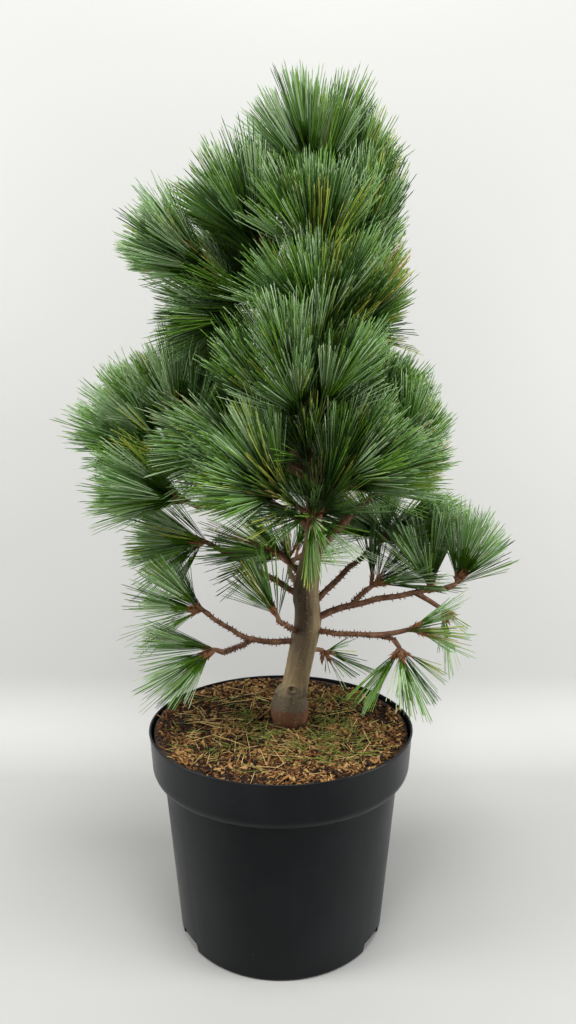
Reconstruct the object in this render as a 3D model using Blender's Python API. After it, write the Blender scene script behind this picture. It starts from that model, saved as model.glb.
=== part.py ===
"""A young eastern white pine growing in a round nursery pot.

The trunk leans and tapers from a flat cut on the growing medium to a thin leader. Boughs leave it
at named heights, and every foliage mass is one solid: a stem, a whorl of twigs that branch by a
seeded rule, and five-needled sprays whose roots are sunk in the twigs. The origin is the middle of
the pot's underside, +Z is up and -Y is the front.
"""

import math
from collections import namedtuple

import bmesh
import bpy
import numpy as np
from mathutils import Matrix, Vector

# Clearance that neighbouring solids keep
GAP = 0.0003

# Pot: a tapered body under a tall collar
RIM_RADIUS = 0.140
POT_HEIGHT = 0.222
COLLAR_TAPER = 0.0030
COLLAR_BEND = 0.186
COLLAR_FOOT = 0.172
BODY_RADIUS = 0.1256
BASE_RADIUS = 0.110
POT_WALL = 0.0020
POT_FLOOR = 0.0030
RIM_ROUND = 0.0009
BASE_ROUND = 0.0030
COLLAR_STEPS = 4
SOIL_COLLAR_STEPS = 2
POT_SIDES = 36

# Drain notches in the foot of the pot's wall
NOTCH_BEARINGS = (90, 210, 330)
NOTCH_WIDTH = 0.044
NOTCH_HEIGHT = 0.010
NOTCH_REACH = 0.016
NOTCH_SLOPE = 0.006

# Growing medium, nearly level with the rim and dipped round the foot of the trunk
SOIL_EDGE = 0.2170
SOIL_CROWN = 0.2165
SOIL_SEAT = 0.2137
CROWN_SHARE = 0.65
SEAT_RADIUS = 0.038
SEAT_RIM = 0.051

# Trunk knots: height, x, y, diameter
TRUNK_KNOTS = (
    (0.2140, 0.009, 0.010, 0.0300),
    (0.2220, 0.009, 0.010, 0.0375),
    (0.2340, 0.009, 0.010, 0.0400),
    (0.2480, 0.011, 0.010, 0.0345),
    (0.2560, 0.014, 0.010, 0.0290),
    (0.2700, 0.017, 0.010, 0.0270),
    (0.3000, 0.023, 0.010, 0.0275),
    (0.3180, 0.027, 0.010, 0.0275),
    (0.3420, 0.028, 0.010, 0.0268),
    (0.3650, 0.027, 0.010, 0.0265),
    (0.3850, 0.029, 0.010, 0.0245),
    (0.4080, 0.032, 0.009, 0.0190),
    (0.4400, 0.035, 0.008, 0.0165),
    (0.5310, 0.033, 0.007, 0.0140),
    (0.6330, 0.029, 0.006, 0.0110),
    (0.7000, 0.030, 0.005, 0.0080),
    (0.7460, 0.031, 0.005, 0.0066),
)
TRUNK_STEPS = 1
TRUNK_SIDES = 12
BOUGH_SIDES = 6
BOUGH_STATIONS = 5
STEEP = 0.9

# A bough: what carries it, the height or share of the carrier where it leaves, its tip, how far
# its middle bows up, and its diameter at the foot and at the tip
Bough = namedtuple("Bough", "name carrier foot tip bow foot_dia tip_dia")
BOUGHS = (
    Bough("low_left_bough", "trunk", 0.315, (-0.075, 0.000, 0.340), -0.017, 0.0066, 0.0048),
    Bough("low_left_arm", "low_left_bough", 0.55, (-0.060, -0.002, 0.300), -0.001, 0.0050, 0.0044),
    Bough("low_left_twig", "trunk", 0.314, (-0.002, -0.014, 0.337), 0.000, 0.0046, 0.0042),
    Bough("mid_left_bough", "trunk", 0.352, (-0.074, 0.030, 0.409), 0.002, 0.0070, 0.0050),
    Bough("low_right_bough", "trunk", 0.330, (0.172, -0.002, 0.369), 0.006, 0.0076, 0.0050),
    Bough("low_right_arm", "low_right_bough", 0.30, (0.090, 0.008, 0.365), 0.000, 0.0050, 0.0044),
    Bough("front_right_bough", "trunk", 0.319, (0.115, -0.024, 0.322), 0.002, 0.0060, 0.0048),
    Bough("back_right_bough", "trunk", 0.341, (0.107, 0.050, 0.409), 0.002, 0.0070, 0.0050),
    Bough("high_right_bough", "trunk", 0.398, (0.109, -0.006, 0.478), 0.007, 0.0088, 0.0058),
    Bough("high_left_bough", "trunk", 0.432, (-0.092, -0.002, 0.493), 0.004, 0.0088, 0.0058),
    Bough("high_left_arm", "high_left_bough", 0.50, (-0.080, -0.030, 0.460), 0.002, 0.0060, 0.0050),
    Bough("shoulder_left_bough", "trunk", 0.490, (-0.071, 0.016, 0.529), 0.003, 0.0076, 0.0056),
    Bough("low_back_bough", "trunk", 0.339, (0.010, 0.092, 0.364), 0.004, 0.0076, 0.0054),
    Bough("mid_back_bough", "trunk", 0.420, (0.030, 0.096, 0.468), 0.004, 0.0080, 0.0058),
)

# A foliage mass: what carries it, the height or share of the carrier where its stem leaves (0 at a
# bough's tip), the bearing, reach and rise of its stem, the bearing, lift and length of its leading
# twig, the number and splay of the twigs round that one, and the length of its needles. Bearings
# turn from +X towards +Y.
Mass = namedtuple("Mass", "name carrier foot bearing reach rise heading lift length sides splay needle")
MASSES = (
    Mass("leader_mass", "trunk_tip", 0.746, 0, 0.004, 0.013, 180, 86, 0.032, 3, 34, 0.088),
    Mass("top_right_mass", "trunk", 0.696, 6, 0.029, 0.049, 7, 61, 0.016, 2, 24, 0.088),
    Mass("top_back_mass", "trunk", 0.676, 118, 0.030, 0.062, 153, 62, 0.024, 2, 28, 0.088),
    Mass("top_front_mass", "trunk", 0.655, -77, 0.026, 0.031, -97, 70, 0.019, 3, 30, 0.088),
    Mass("top_left_mass", "trunk", 0.650, -168, 0.048, 0.055, -167, 59, 0.018, 3, 26, 0.088),
    Mass("far_left_mass", "trunk", 0.632, -167, 0.082, 0.044, -177, 24, 0.041, 3, 20, 0.088),
    Mass("upper_left_mass", "trunk", 0.590, 179, 0.069, 0.054, 175, 10, 0.012, 3, 36, 0.086),
    Mass("upper_front_mass", "trunk", 0.590, -76, 0.035, 0.027, -115, 66, 0.024, 4, 34, 0.088),
    Mass("upper_right_mass", "trunk", 0.622, -18, 0.033, 0.040, 4, 66, 0.060, 3, 24, 0.088),
    Mass("pale_right_mass", "trunk", 0.566, -44, 0.047, 0.059, -10, 36, 0.012, 2, 30, 0.080),
    Mass("upper_back_left_mass", "trunk", 0.612, 140, 0.056, 0.048, 150, 52, 0.036, 2, 40, 0.088),
    Mass("upper_back_right_mass", "trunk", 0.590, 55, 0.043, 0.046, 32, 57, 0.045, 2, 36, 0.088),
    Mass("front_mass", "trunk", 0.468, -98, 0.052, 0.049, -99, 73, 0.059, 4, 36, 0.090),
    Mass("mid_left_mass", "high_left_bough", 0, -141, 0.010, 0.003, -177, 32, 0.055, 3, 27, 0.088),
    Mass("lower_left_mass", "high_left_arm", 0, -161, 0.012, 0.005, -174, 14, 0.016, 3, 30, 0.088),
    Mass("shoulder_left_mass", "shoulder_left_bough", 0, -158, 0.021, -0.014, -173, 59, 0.040, 3, 32, 0.088),
    Mass("shoulder_front_left_mass", "trunk", 0.480, -150, 0.074, 0.034, -164, 5, 0.012, 2, 34, 0.086),
    Mass("bottom_left_mass", "mid_left_bough", 0, -146, 0.007, 0.004, -169, -2, 0.014, 2, 36, 0.084),
    Mass("left_front_mass", "trunk", 0.442, -116, 0.065, 0.027, -158, 31, 0.023, 4, 34, 0.088),
    Mass("right_front_mass", "trunk", 0.428, -79, 0.051, 0.042, -12, 35, 0.043, 4, 34, 0.088),
    Mass("shoulder_right_mass", "trunk", 0.490, 8, 0.047, 0.016, 9, 60, 0.037, 3, 28, 0.088),
    Mass("high_right_mass", "high_right_bough", 0, -14, 0.008, 0.007, -12, 65, 0.023, 2, 28, 0.086),
    Mass("right_back_mass", "back_right_bough", 0, -37, 0.007, 0.002, 74, 79, 0.012, 4, 76, 0.084),
    Mass("mid_back_left_mass", "trunk", 0.500, 144, 0.072, 0.033, 152, 55, 0.040, 2, 38, 0.088),
    Mass("mid_back_mass", "mid_back_bough", 0, 92, 0.014, 0.010, 92, 36, 0.040, 2, 42, 0.088),
    Mass("mid_back_right_mass", "trunk", 0.530, 61, 0.054, 0.035, 48, 52, 0.033, 2, 38, 0.088),
    Mass("back_left_mass", "trunk", 0.372, 153, 0.031, 0.030, 178, -4, 0.012, 1, 40, 0.072),
    Mass("back_right_mass", "trunk", 0.402, 71, 0.041, 0.047, 101, 60, 0.013, 3, 46, 0.088),
    Mass("low_back_mass", "low_back_bough", 0, 95, 0.012, 0.006, 95, 20, 0.030, 2, 46, 0.080),
    Mass("low_right_mass", "low_right_bough", 0.88, 59, 0.010, -0.001, 174, 77, 0.012, 2, 34, 0.084),
    Mass("low_right_tip_mass", "low_right_bough", 0, -10, 0.011, 0.006, 0, 69, 0.012, 2, 34, 0.084),
    Mass("low_right_inner_mass", "low_right_arm", 0, 21, 0.006, 0.003, 18, 39, 0.012, 2, 46, 0.066),
    Mass("front_right_mass", "front_right_bough", 0, -15, 0.007, -0.009, -72, -74, 0.012, 2, 44, 0.068),
    Mass("low_left_mass", "low_left_bough", 0, -170, 0.006, 0.005, -177, 15, 0.012, 3, 42, 0.080),
    Mass("low_left_arm_mass", "low_left_arm", 0, -160, 0.009, 0.004, -172, -24, 0.012, 2, 30, 0.076),
    Mass("low_left_inner_mass", "low_left_twig", 0, -128, 0.001, 0.005, -171, 65, 0.012, 1, 24, 0.068),
    Mass("droop_mass", "trunk", 0.418, -93, 0.051, 0.035, -90, 0, 0.012, 4, 76, 0.070),
    Mass("low_right_under_mass", "low_right_bough", 0.78, -21, 0.029, -0.015, -18, -62, 0.012, 1, 44, 0.068),
    Mass("front_right_side_mass", "front_right_bough", 0.70, -31, 0.046, 0.013, -11, -3, 0.012, 1, 40, 0.062),
    Mass("low_back_right_mass", "trunk", 0.300, 47, 0.033, -0.010, 40, -46, 0.012, 1, 44, 0.066),
)

# The crown's furthest reach at a height: height, to the left and to the right
CROWN_REACH = (
    (0.245, -0.150, 0.172),
    (0.300, -0.166, 0.186),
    (0.370, -0.162, 0.212),
    (0.405, -0.166, 0.240),
    (0.430, -0.176, 0.236),
    (0.455, -0.198, 0.222),
    (0.485, -0.202, 0.174),
    (0.535, -0.206, 0.172),
    (0.555, -0.216, 0.168),
    (0.594, -0.184, 0.154),
    (0.632, -0.140, 0.120),
    (0.670, -0.130, 0.125),
    (0.709, -0.164, 0.126),
    (0.765, -0.134, 0.125),
    (0.790, -0.106, 0.123),
    (0.834, -0.050, 0.110),
    (0.885, -0.030, 0.090),
)

# Twigs and sprays
STEM_RADIUS = 0.0034
TWIG_RADIUS = 0.0032
TWIG_TIP_RADIUS = 0.0027
TWIG_SIDES = 3
UPTURN = 0.12
WHORL_START = 0.02
WHORL_STEP = 0.10
WHORL_PHASE = 0.25
TURN_SCATTER = 0.15
SPLAY_RANGE = (0.85, 1.15)
SIDE_TWIG_RANGE = (0.72, 0.95)
NEEDLES_PER_SPRAY = 5
SPRAY_HALF_SPREAD = math.radians(16)
SPRAY_THICKNESS = 0.0016
SPRAY_ROOT_HALF_WIDTH = 0.0007
SPRAY_RANGE = (0.88, 1.03)
SPRAY_NOTCH = 0.44
NOTCH_RANGE = (0.85, 1.15)
NEEDLE_RANGE = (0.88, 1.0)
NEEDLE_SCATTER = 0.012
SPRAY_DROOP = 0.035
LEADING_SPRAYS = 3
SIDE_SPRAYS = 2
SPRAY_TRIES = 60
SPRAY_SIZES = (1.0, 0.9, 0.8, 0.7, 0.6)
GOLDEN_TURN = math.pi * (3 - math.sqrt(5))
GOLDEN_STEP = (math.sqrt(5) - 1) / 2
FIRST_SHARE = 0.9
BARE_SHARE = 0.25
WIDE_ANGLE = math.radians(36)
NARROW_ANGLE = math.radians(6)
ANGLE_POWER = 0.7
ANGLE_SCATTER = 0.05
ROLL_SCATTER = 0.2

# Own space: a sample of a spray lies this much nearer its own wood than any other mass's, and
# the needles of two sprays in a mass pass each other this far apart, beyond their roots
SPACE_MARGIN = 0.0020
LIMB_MARGIN = 0.0012
NEEDLE_MARGIN = 0.0022
ROOT_SHARE = 0.16
FIRST_SEED = 100
DOWN_SHARES = np.linspace(0.12, 1, 9)
EDGE_SHARES = (0.25, 0.5, 0.75)

# Plain colours and roughness
POT_FINISH = ("pot_plastic", (0.018, 0.021, 0.024), 0.42)
SOIL_FINISH = ("growing_medium", (0.16, 0.09, 0.045), 0.95)
TRUNK_FINISH = ("trunk_bark", (0.13, 0.115, 0.08), 0.8)
BOUGH_FINISH = ("bough_bark", (0.14, 0.085, 0.055), 0.8)
NEEDLE_FINISH = ("needles", (0.045, 0.13, 0.055), 0.5)

# Faces of a joined solid that turn less than this count as one, a whole one has at least so many
# triangles for each piece in it, and a piece that is joined by itself adds at least so many
FLAT_ANGLE = math.radians(0.6)
JOINED_FACES = 18
ADDED_FACES = 6

UP = np.array((0.0, 0.0, 1.0))
NEAR_UP = np.array((0.010, 0.004, 1.0))


def unit(vector):
    """Return the vector at length one."""
    return vector / np.linalg.norm(vector)


def direction(bearing, lift):
    """Return the unit vector at a bearing and a lift, both in degrees."""
    turn, rise = math.radians(bearing), math.radians(lift)
    return np.array((math.cos(turn) * math.cos(rise), math.sin(turn) * math.cos(rise), math.sin(rise)))


def smooth_line(knots, steps):
    """Return points on a Catmull-Rom curve through the knots, with `steps` spans between two."""
    rows = np.array(knots, dtype=float)
    rows = np.vstack((2 * rows[0] - rows[1], rows, 2 * rows[-1] - rows[-2]))
    points = []
    for before, start, end, after in zip(rows, rows[1:], rows[2:], rows[3:]):
        for share in np.arange(steps) / steps:
            points.append(0.5 * (2 * start + (end - before) * share
                                 + (2 * before - 5 * start + 4 * end - after) * share ** 2
                                 + (3 * start - before - 3 * end + after) * share ** 3))
    points.append(rows[-2])
    return np.array(points)


def trunk_line():
    """Return the trunk's stations as rows of x, y, z and radius."""
    return smooth_line([(x, y, height, dia / 2) for height, x, y, dia in TRUNK_KNOTS], TRUNK_STEPS)


def point_at_height(line, height):
    """Return the point of a rising line at a height."""
    return np.array([np.interp(height, line[:, 2], line[:, axis]) for axis in range(3)])


def point_at_share(line, share):
    """Return the point at a share of a line's stations."""
    place = share * (len(line) - 1)
    return np.array([np.interp(place, range(len(line)), line[:, axis]) for axis in range(3)])


def bowed_line(start, end, bow, start_radius, end_radius, stations):
    """Return stations from start to end whose middle is lifted by the bow."""
    share = np.linspace(0, 1, stations)[:, None]
    places = start * (1 - share) + end * share + UP * bow * 4 * share * (1 - share)
    return np.hstack((places, start_radius + (end_radius - start_radius) * share))


def limb_lines():
    """Return the stations of the trunk and of every bough, by name."""
    lines = {"trunk": trunk_line()}
    for bough in BOUGHS:
        carrier = lines[bough.carrier]
        if bough.carrier == "trunk":
            start = point_at_height(carrier, bough.foot)
        else:
            start = point_at_share(carrier, bough.foot)
        lines[bough.name] = bowed_line(start, np.array(bough.tip), bough.bow, bough.foot_dia / 2,
                                       bough.tip_dia / 2, BOUGH_STATIONS)
    return lines


def tip_direction(line):
    """Return the direction of a line's last span."""
    return unit(line[-1, :3] - line[-2, :3])


def starts_inside(mass):
    """Tell whether a mass's stem starts inside its carrier, and not beyond the carrier's tip."""
    return mass.carrier != "trunk_tip" and mass.foot > 0


def mass_twigs(mass, seed, lines):
    """Return a mass's stem and its twigs, each as a start and an end point.

    The stem starts on its carrier's axis or a gap beyond its bough's tip. The leading twig carries
    on from the hub at the stem's end, and the other twigs splay round it in a seeded whorl.
    """
    draw = np.random.default_rng(seed)
    if mass.carrier == "trunk":
        start = point_at_height(lines["trunk"], mass.foot)
    elif starts_inside(mass):
        start = point_at_share(lines[mass.carrier], mass.foot)
    else:
        carrier = lines["trunk" if mass.carrier == "trunk_tip" else mass.carrier]
        start = carrier[-1, :3] + GAP * tip_direction(carrier)
    hub = start + mass.reach * direction(mass.bearing, 0) + mass.rise * UP
    ahead = direction(mass.heading, mass.lift)
    across = unit(np.cross(ahead, UP))
    above = np.cross(across, ahead)
    twigs = [(hub, hub + ahead * mass.length)]
    for index in range(mass.sides):
        turn = 2 * math.pi * (index + WHORL_PHASE * (seed % 4)) / mass.sides + draw.normal(0, TURN_SCATTER)
        splay = math.radians(mass.splay * draw.uniform(*SPLAY_RANGE))
        aside = math.cos(turn) * across + math.sin(turn) * above
        along = unit(math.cos(splay) * ahead + math.sin(splay) * aside + UPTURN * UP)
        foot = hub + ahead * mass.length * (WHORL_START + WHORL_STEP * index)
        twigs.append((foot, foot + along * mass.length * draw.uniform(*SIDE_TWIG_RANGE)))
    return (start, hub), twigs


def spray_rule(twig, needle, index, phase, draw):
    """Return the root, direction, sideways direction and length of one spray of a twig's brush.

    Sprays stand wide at the foot of the brush and close in towards the bud, and the golden angle
    turns each one on from the last.
    """
    start, end = twig
    ahead = unit(end - start)
    across = unit(np.cross(ahead, NEAR_UP))
    above = np.cross(across, ahead)
    share = (FIRST_SHARE + GOLDEN_STEP * index) % 1.0
    angle = WIDE_ANGLE + (NARROW_ANGLE - WIDE_ANGLE) * share ** ANGLE_POWER + draw.normal(0, ANGLE_SCATTER)
    turn = GOLDEN_TURN * index + phase + draw.normal(0, TURN_SCATTER)
    aside = math.cos(turn) * across + math.sin(turn) * above
    along = unit(math.cos(angle) * ahead + math.sin(angle) * aside - SPRAY_DROOP * UP)
    roll = draw.normal(0, ROLL_SCATTER)
    tangent = np.cross(ahead, aside)
    tangent = unit(tangent - along * np.dot(tangent, along))
    sideways = math.cos(roll) * tangent + math.sin(roll) * np.cross(tangent, along)
    root = start + (end - start) * (BARE_SHARE + (1 - BARE_SHARE) * share)
    return root, along, sideways, needle * draw.uniform(*SPRAY_RANGE)


def spray_outline(length, draw):
    """Return a spray's outline in its own plane, as (sideways, along, is_tip) corners."""
    teeth = NEEDLES_PER_SPRAY
    corners = [(-SPRAY_ROOT_HALF_WIDTH, 0.0, False)]
    for index in range(teeth):
        angle = SPRAY_HALF_SPREAD * (2 * index / (teeth - 1) - 1) + draw.normal(0, NEEDLE_SCATTER)
        reach = length * draw.uniform(*NEEDLE_RANGE)
        corners.append((reach * math.sin(angle), reach * math.cos(angle), True))
        if index < teeth - 1:
            angle = SPRAY_HALF_SPREAD * ((2 * index + 1) / (teeth - 1) - 1)
            reach = length * SPRAY_NOTCH * draw.uniform(*NOTCH_RANGE)
            corners.append((reach * math.sin(angle), reach * math.cos(angle), False))
    corners.append((SPRAY_ROOT_HALF_WIDTH, 0.0, False))
    return corners


def distances(points, starts, ends):
    """Return each point's distance to each segment, and its share along it."""
    spans = ends - starts
    offsets = points[:, None, :] - starts[None, :, :]
    shares = np.clip(np.sum(offsets * spans, axis=2) / np.sum(spans * spans, axis=1), 0, 1)
    gaps = np.linalg.norm(offsets - shares[:, :, None] * spans, axis=2)
    return gaps, shares


def line_gaps(starts, ends, other_starts, other_ends):
    """Return the least distance between each of some segments and each of some others."""
    first, second = ends - starts, other_ends - other_starts
    offset = starts[:, None, :] - other_starts[None, :, :]
    a = np.sum(first * first, axis=1)[:, None]
    e = np.sum(second * second, axis=1)[None, :]
    b = first @ second.T
    c = np.einsum("ik,ijk->ij", first, offset)
    f = np.einsum("jk,ijk->ij", second, offset)
    share = np.clip((b * f - c * e) / np.maximum(a * e - b * b, 1e-12), 0, 1)
    other_share = np.clip((b * share + f) / e, 0, 1)
    share = np.clip((b * other_share - c) / a, 0, 1)
    apart = offset + share[:, :, None] * first[:, None, :] - other_share[:, :, None] * second[None, :, :]
    return np.linalg.norm(apart, axis=2)


class Space:
    """The limbs, and the wood of every mass, that sprays have to keep clear of."""

    def __init__(self, lines, woods):
        """Collect the limbs' segments with their radii, and every mass's with its number."""
        rows = [(a[:3], b[:3], a[3], b[3]) for line in lines.values() for a, b in zip(line, line[1:])]
        self.limb_starts, self.limb_ends = (np.array([row[i] for row in rows]) for i in (0, 1))
        self.limb_radii = np.array([(row[2], row[3]) for row in rows])
        owned = [(a, b, number) for number, (stem, twigs) in enumerate(woods) for a, b in [stem] + twigs]
        self.wood_starts, self.wood_ends = (np.array([row[i] for row in owned]) for i in (0, 1))
        self.owners = np.array([row[2] for row in owned])

    def holds(self, points, number):
        """Tell whether all points lie in the crown, in mass `number`'s own space and clear of limbs."""
        heights, left, right = zip(*CROWN_REACH)
        if points[:, 2].min() < heights[0]:
            return False
        if np.any(points[:, 0] < np.interp(points[:, 2], heights, left)):
            return False
        if np.any(points[:, 0] > np.interp(points[:, 2], heights, right)):
            return False
        gaps, shares = distances(points, self.limb_starts, self.limb_ends)
        radii = self.limb_radii[:, 0] * (1 - shares) + self.limb_radii[:, 1] * shares
        if np.any(gaps < radii + LIMB_MARGIN):
            return False
        gaps, shares = distances(points, self.wood_starts, self.wood_ends)
        own = gaps[:, self.owners == number].min(axis=1)
        other = gaps[:, self.owners != number].min(axis=1)
        return bool(np.all(other - own > SPACE_MARGIN))


def spray_samples(root, along, sideways, corners):
    """Return points down a spray's edges and needles, from just outside its twig to the tips."""
    normal = np.cross(sideways, along)
    places = []
    inner = None
    for x, y, _ in corners:
        place = root + sideways * x + along * y
        for share in DOWN_SHARES:
            places.append(root + (place - root) * share)
        if inner is not None:
            for share in EDGE_SHARES:
                places.append(inner + (place - inner) * share)
        inner = place
    places = np.array(places)
    return np.vstack((places + normal * SPRAY_THICKNESS / 2, places - normal * SPRAY_THICKNESS / 2))


def clear_scene():
    """Remove every object that the file starts with."""
    for item in list(bpy.data.objects):
        bpy.data.objects.remove(item, do_unlink=True)


def make_material(name, colour, roughness):
    """Return a Principled material of one colour."""
    material = bpy.data.materials.new(name)
    material.use_nodes = True
    shader = material.node_tree.nodes["Principled BSDF"]
    shader.inputs["Base Color"].default_value = (*colour, 1.0)
    shader.inputs["Roughness"].default_value = roughness
    shader.inputs["Metallic"].default_value = 0.0
    return material


def add_object(name, bm, material=None, smooth=False):
    """Turn a bmesh into a linked object and free it."""
    bmesh.ops.recalc_face_normals(bm, faces=bm.faces)
    mesh = bpy.data.meshes.new(name)
    bm.to_mesh(mesh)
    bm.free()
    if smooth:
        mesh.shade_smooth()
        mesh.set_sharp_from_angle(angle=math.radians(40))
    if material:
        mesh.materials.append(material)
    item = bpy.data.objects.new(name, mesh)
    bpy.context.scene.collection.objects.link(item)
    return item


def turned(profile, sides):
    """Return a bmesh of a profile of (radius, height) points turned about Z, its poles merged."""
    bm = bmesh.new()
    verts = [bm.verts.new((radius, 0.0, height)) for radius, height in profile]
    edges = [bm.edges.new(pair) for pair in zip(verts, verts[1:])]
    bmesh.ops.spin(bm, geom=verts + edges, cent=(0, 0, 0), axis=(0, 0, 1), angle=2 * math.pi,
                   steps=sides, use_merge=True)
    bmesh.ops.remove_doubles(bm, verts=bm.verts, dist=1e-5)
    return bm


def swept(line, sides, grow=0.0, first_ahead=None):
    """Return a bmesh tube through stations of x, y, z and radius, with flat ends.

    The first end is square to the line, or to `first_ahead` where that is given.
    """
    bm = bmesh.new()
    across = None
    last = None
    for index, station in enumerate(line):
        ahead = line[min(index + 1, len(line) - 1), :3] - line[max(index - 1, 0), :3]
        ahead = unit(ahead)
        if index == 0 and first_ahead is not None:
            ahead = first_ahead
        if across is None:
            across = np.cross(ahead, UP) if abs(ahead[2]) < STEEP else np.cross(ahead, (0.0, 1.0, 0.0))
        across = unit(across - ahead * np.dot(across, ahead))
        above = np.cross(ahead, across)
        frame = Matrix((across, above, ahead)).transposed().to_4x4()
        frame.translation = Vector(station[:3])
        ring = bmesh.ops.create_circle(bm, cap_ends=index in (0, len(line) - 1), segments=sides,
                                       radius=station[3] + grow, matrix=frame)["verts"]
        edges = [edge for edge in {edge for vert in ring for edge in vert.link_edges}]
        if last:
            bmesh.ops.bridge_loops(bm, edges=last + edges)
        last = edges
    return bm


def evaluated_mesh(item):
    """Return a new mesh of an object with its modifiers applied."""
    graph = bpy.context.evaluated_depsgraph_get()
    return bpy.data.meshes.new_from_object(item.evaluated_get(graph))


def apply_boolean(item, operation, solver, operand=None, operands=None):
    """Apply one Boolean with an object or a collection, and leave its result in the object."""
    modifier = item.modifiers.new("join", "BOOLEAN")
    modifier.operation = operation
    modifier.solver = solver
    if operands:
        modifier.operand_type = "COLLECTION"
        modifier.collection = operands
    else:
        modifier.object = operand
    result = evaluated_mesh(item)
    item.modifiers.clear()
    materials = list(item.data.materials)
    old = item.data
    item.data = result
    bpy.data.meshes.remove(old)
    result.materials.clear()
    for material in materials:
        result.materials.append(material)


def keep_largest_body(item):
    """Keep only the body of the largest volume, so hollows are filled and scraps dropped.

    Faces that lie in one plane are merged first. Return whether the body is closed.
    """
    bm = bmesh.new()
    bm.from_mesh(item.data)
    bmesh.ops.dissolve_limit(bm, angle_limit=FLAT_ANGLE, verts=bm.verts, edges=bm.edges)
    bmesh.ops.triangulate(bm, faces=bm.faces)
    unseen = set(bm.faces)
    bodies = []
    while unseen:
        body, front = set(), [unseen.pop()]
        while front:
            face = front.pop()
            body.add(face)
            for edge in face.edges:
                for near in edge.link_faces:
                    if near in unseen:
                        unseen.remove(near)
                        front.append(near)
        volume = 0.0
        for face in body:
            a, b, c = (vert.co for vert in face.verts)
            volume += a.dot(b.cross(c)) / 6
        bodies.append((volume, body))
    bodies.sort(key=lambda pair: pair[0], reverse=True)
    extra = [face for _, body in bodies[1:] for face in body]
    bmesh.ops.delete(bm, geom=extra, context="FACES")
    open_edges = sum(len(edge.link_faces) != 2 for edge in bm.edges)
    bm.to_mesh(item.data)
    bm.free()
    return open_edges == 0


def collar_line(inset, steps):
    """Return the points of the collar's underside, an inset within the wall, from its foot to its bend."""
    line = []
    for index in range(steps + 1):
        turn = math.pi / 2 * index / steps
        line.append((BODY_RADIUS - inset + (RIM_RADIUS - COLLAR_TAPER - BODY_RADIUS) * math.sin(turn),
                     COLLAR_BEND - (COLLAR_BEND - COLLAR_FOOT - inset) * math.cos(turn)))
    return line


def build_pot(material):
    """Turn the pot and cut its drain notches."""
    outer = [(0.0, 0.0), (BASE_RADIUS - BASE_ROUND, 0.0), (BASE_RADIUS, BASE_ROUND)]
    outer += collar_line(0.0, COLLAR_STEPS)
    outer += [(RIM_RADIUS, POT_HEIGHT - RIM_ROUND), (RIM_RADIUS - RIM_ROUND, POT_HEIGHT)]
    inner = [(RIM_RADIUS - POT_WALL, POT_HEIGHT - RIM_ROUND)]
    inner += reversed(collar_line(POT_WALL, COLLAR_STEPS))
    inner += [(BASE_RADIUS - POT_WALL, POT_FLOOR), (0.0, POT_FLOOR)]
    pot = add_object("pot", turned(outer + inner, POT_SIDES), material, smooth=True)
    for bearing in NOTCH_BEARINGS:
        bm = bmesh.new()
        bmesh.ops.create_cube(bm, size=1.0)
        bmesh.ops.scale(bm, vec=(NOTCH_REACH, NOTCH_WIDTH, 2 * NOTCH_HEIGHT), verts=bm.verts)
        for vert in bm.verts:
            if vert.co.z > 0:
                vert.co.y -= math.copysign(NOTCH_SLOPE, vert.co.y)
        turn = Matrix.Rotation(math.radians(bearing), 4, "Z")
        bmesh.ops.transform(bm, matrix=turn @ Matrix.Translation((BASE_RADIUS, 0, 0)), verts=bm.verts)
        cutter = add_object("notch_cutter", bm)
        apply_boolean(pot, "DIFFERENCE", "EXACT", operand=cutter)
        bpy.data.objects.remove(cutter, do_unlink=True)
    return pot


def build_soil(material):
    """Turn the growing medium, a gap clear of the pot's wall and floor."""
    inset = POT_WALL + GAP
    slope = (BODY_RADIUS - BASE_RADIUS) / (COLLAR_FOOT - BASE_ROUND)
    floor = POT_FLOOR + GAP
    step_back = NOTCH_REACH / 2 + GAP
    notch_top = NOTCH_HEIGHT + GAP
    foot_radius = BASE_RADIUS - step_back
    collar_radius = RIM_RADIUS - COLLAR_TAPER - inset
    edge_radius = collar_radius + COLLAR_TAPER * (SOIL_EDGE - COLLAR_BEND) / (POT_HEIGHT - COLLAR_BEND)
    profile = [(0.0, floor), (foot_radius, floor), (foot_radius, notch_top),
               (BASE_RADIUS + slope * (notch_top - BASE_ROUND) - inset, notch_top)]
    profile += collar_line(inset, SOIL_COLLAR_STEPS)
    profile += [(edge_radius, SOIL_EDGE), (CROWN_SHARE * edge_radius, SOIL_CROWN),
                (SEAT_RIM, SOIL_CROWN), (SEAT_RADIUS, SOIL_SEAT), (0.0, SOIL_SEAT)]
    return add_object("soil", turned(profile, POT_SIDES), material)


def build_limbs(lines, bark, twig_bark):
    """Sweep the trunk and the boughs, each bough cut a gap clear of what carries it."""
    add_object("trunk", swept(lines["trunk"], TRUNK_SIDES), bark, smooth=True)
    for bough in BOUGHS:
        limb = add_object(bough.name, swept(lines[bough.name], BOUGH_SIDES), twig_bark, smooth=True)
        sides = TRUNK_SIDES if bough.carrier == "trunk" else BOUGH_SIDES
        cutter = add_object("carrier_cutter", swept(lines[bough.carrier], sides, GAP))
        apply_boolean(limb, "DIFFERENCE", "EXACT", operand=cutter)
        bpy.data.objects.remove(cutter, do_unlink=True)
        keep_largest_body(limb)


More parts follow.
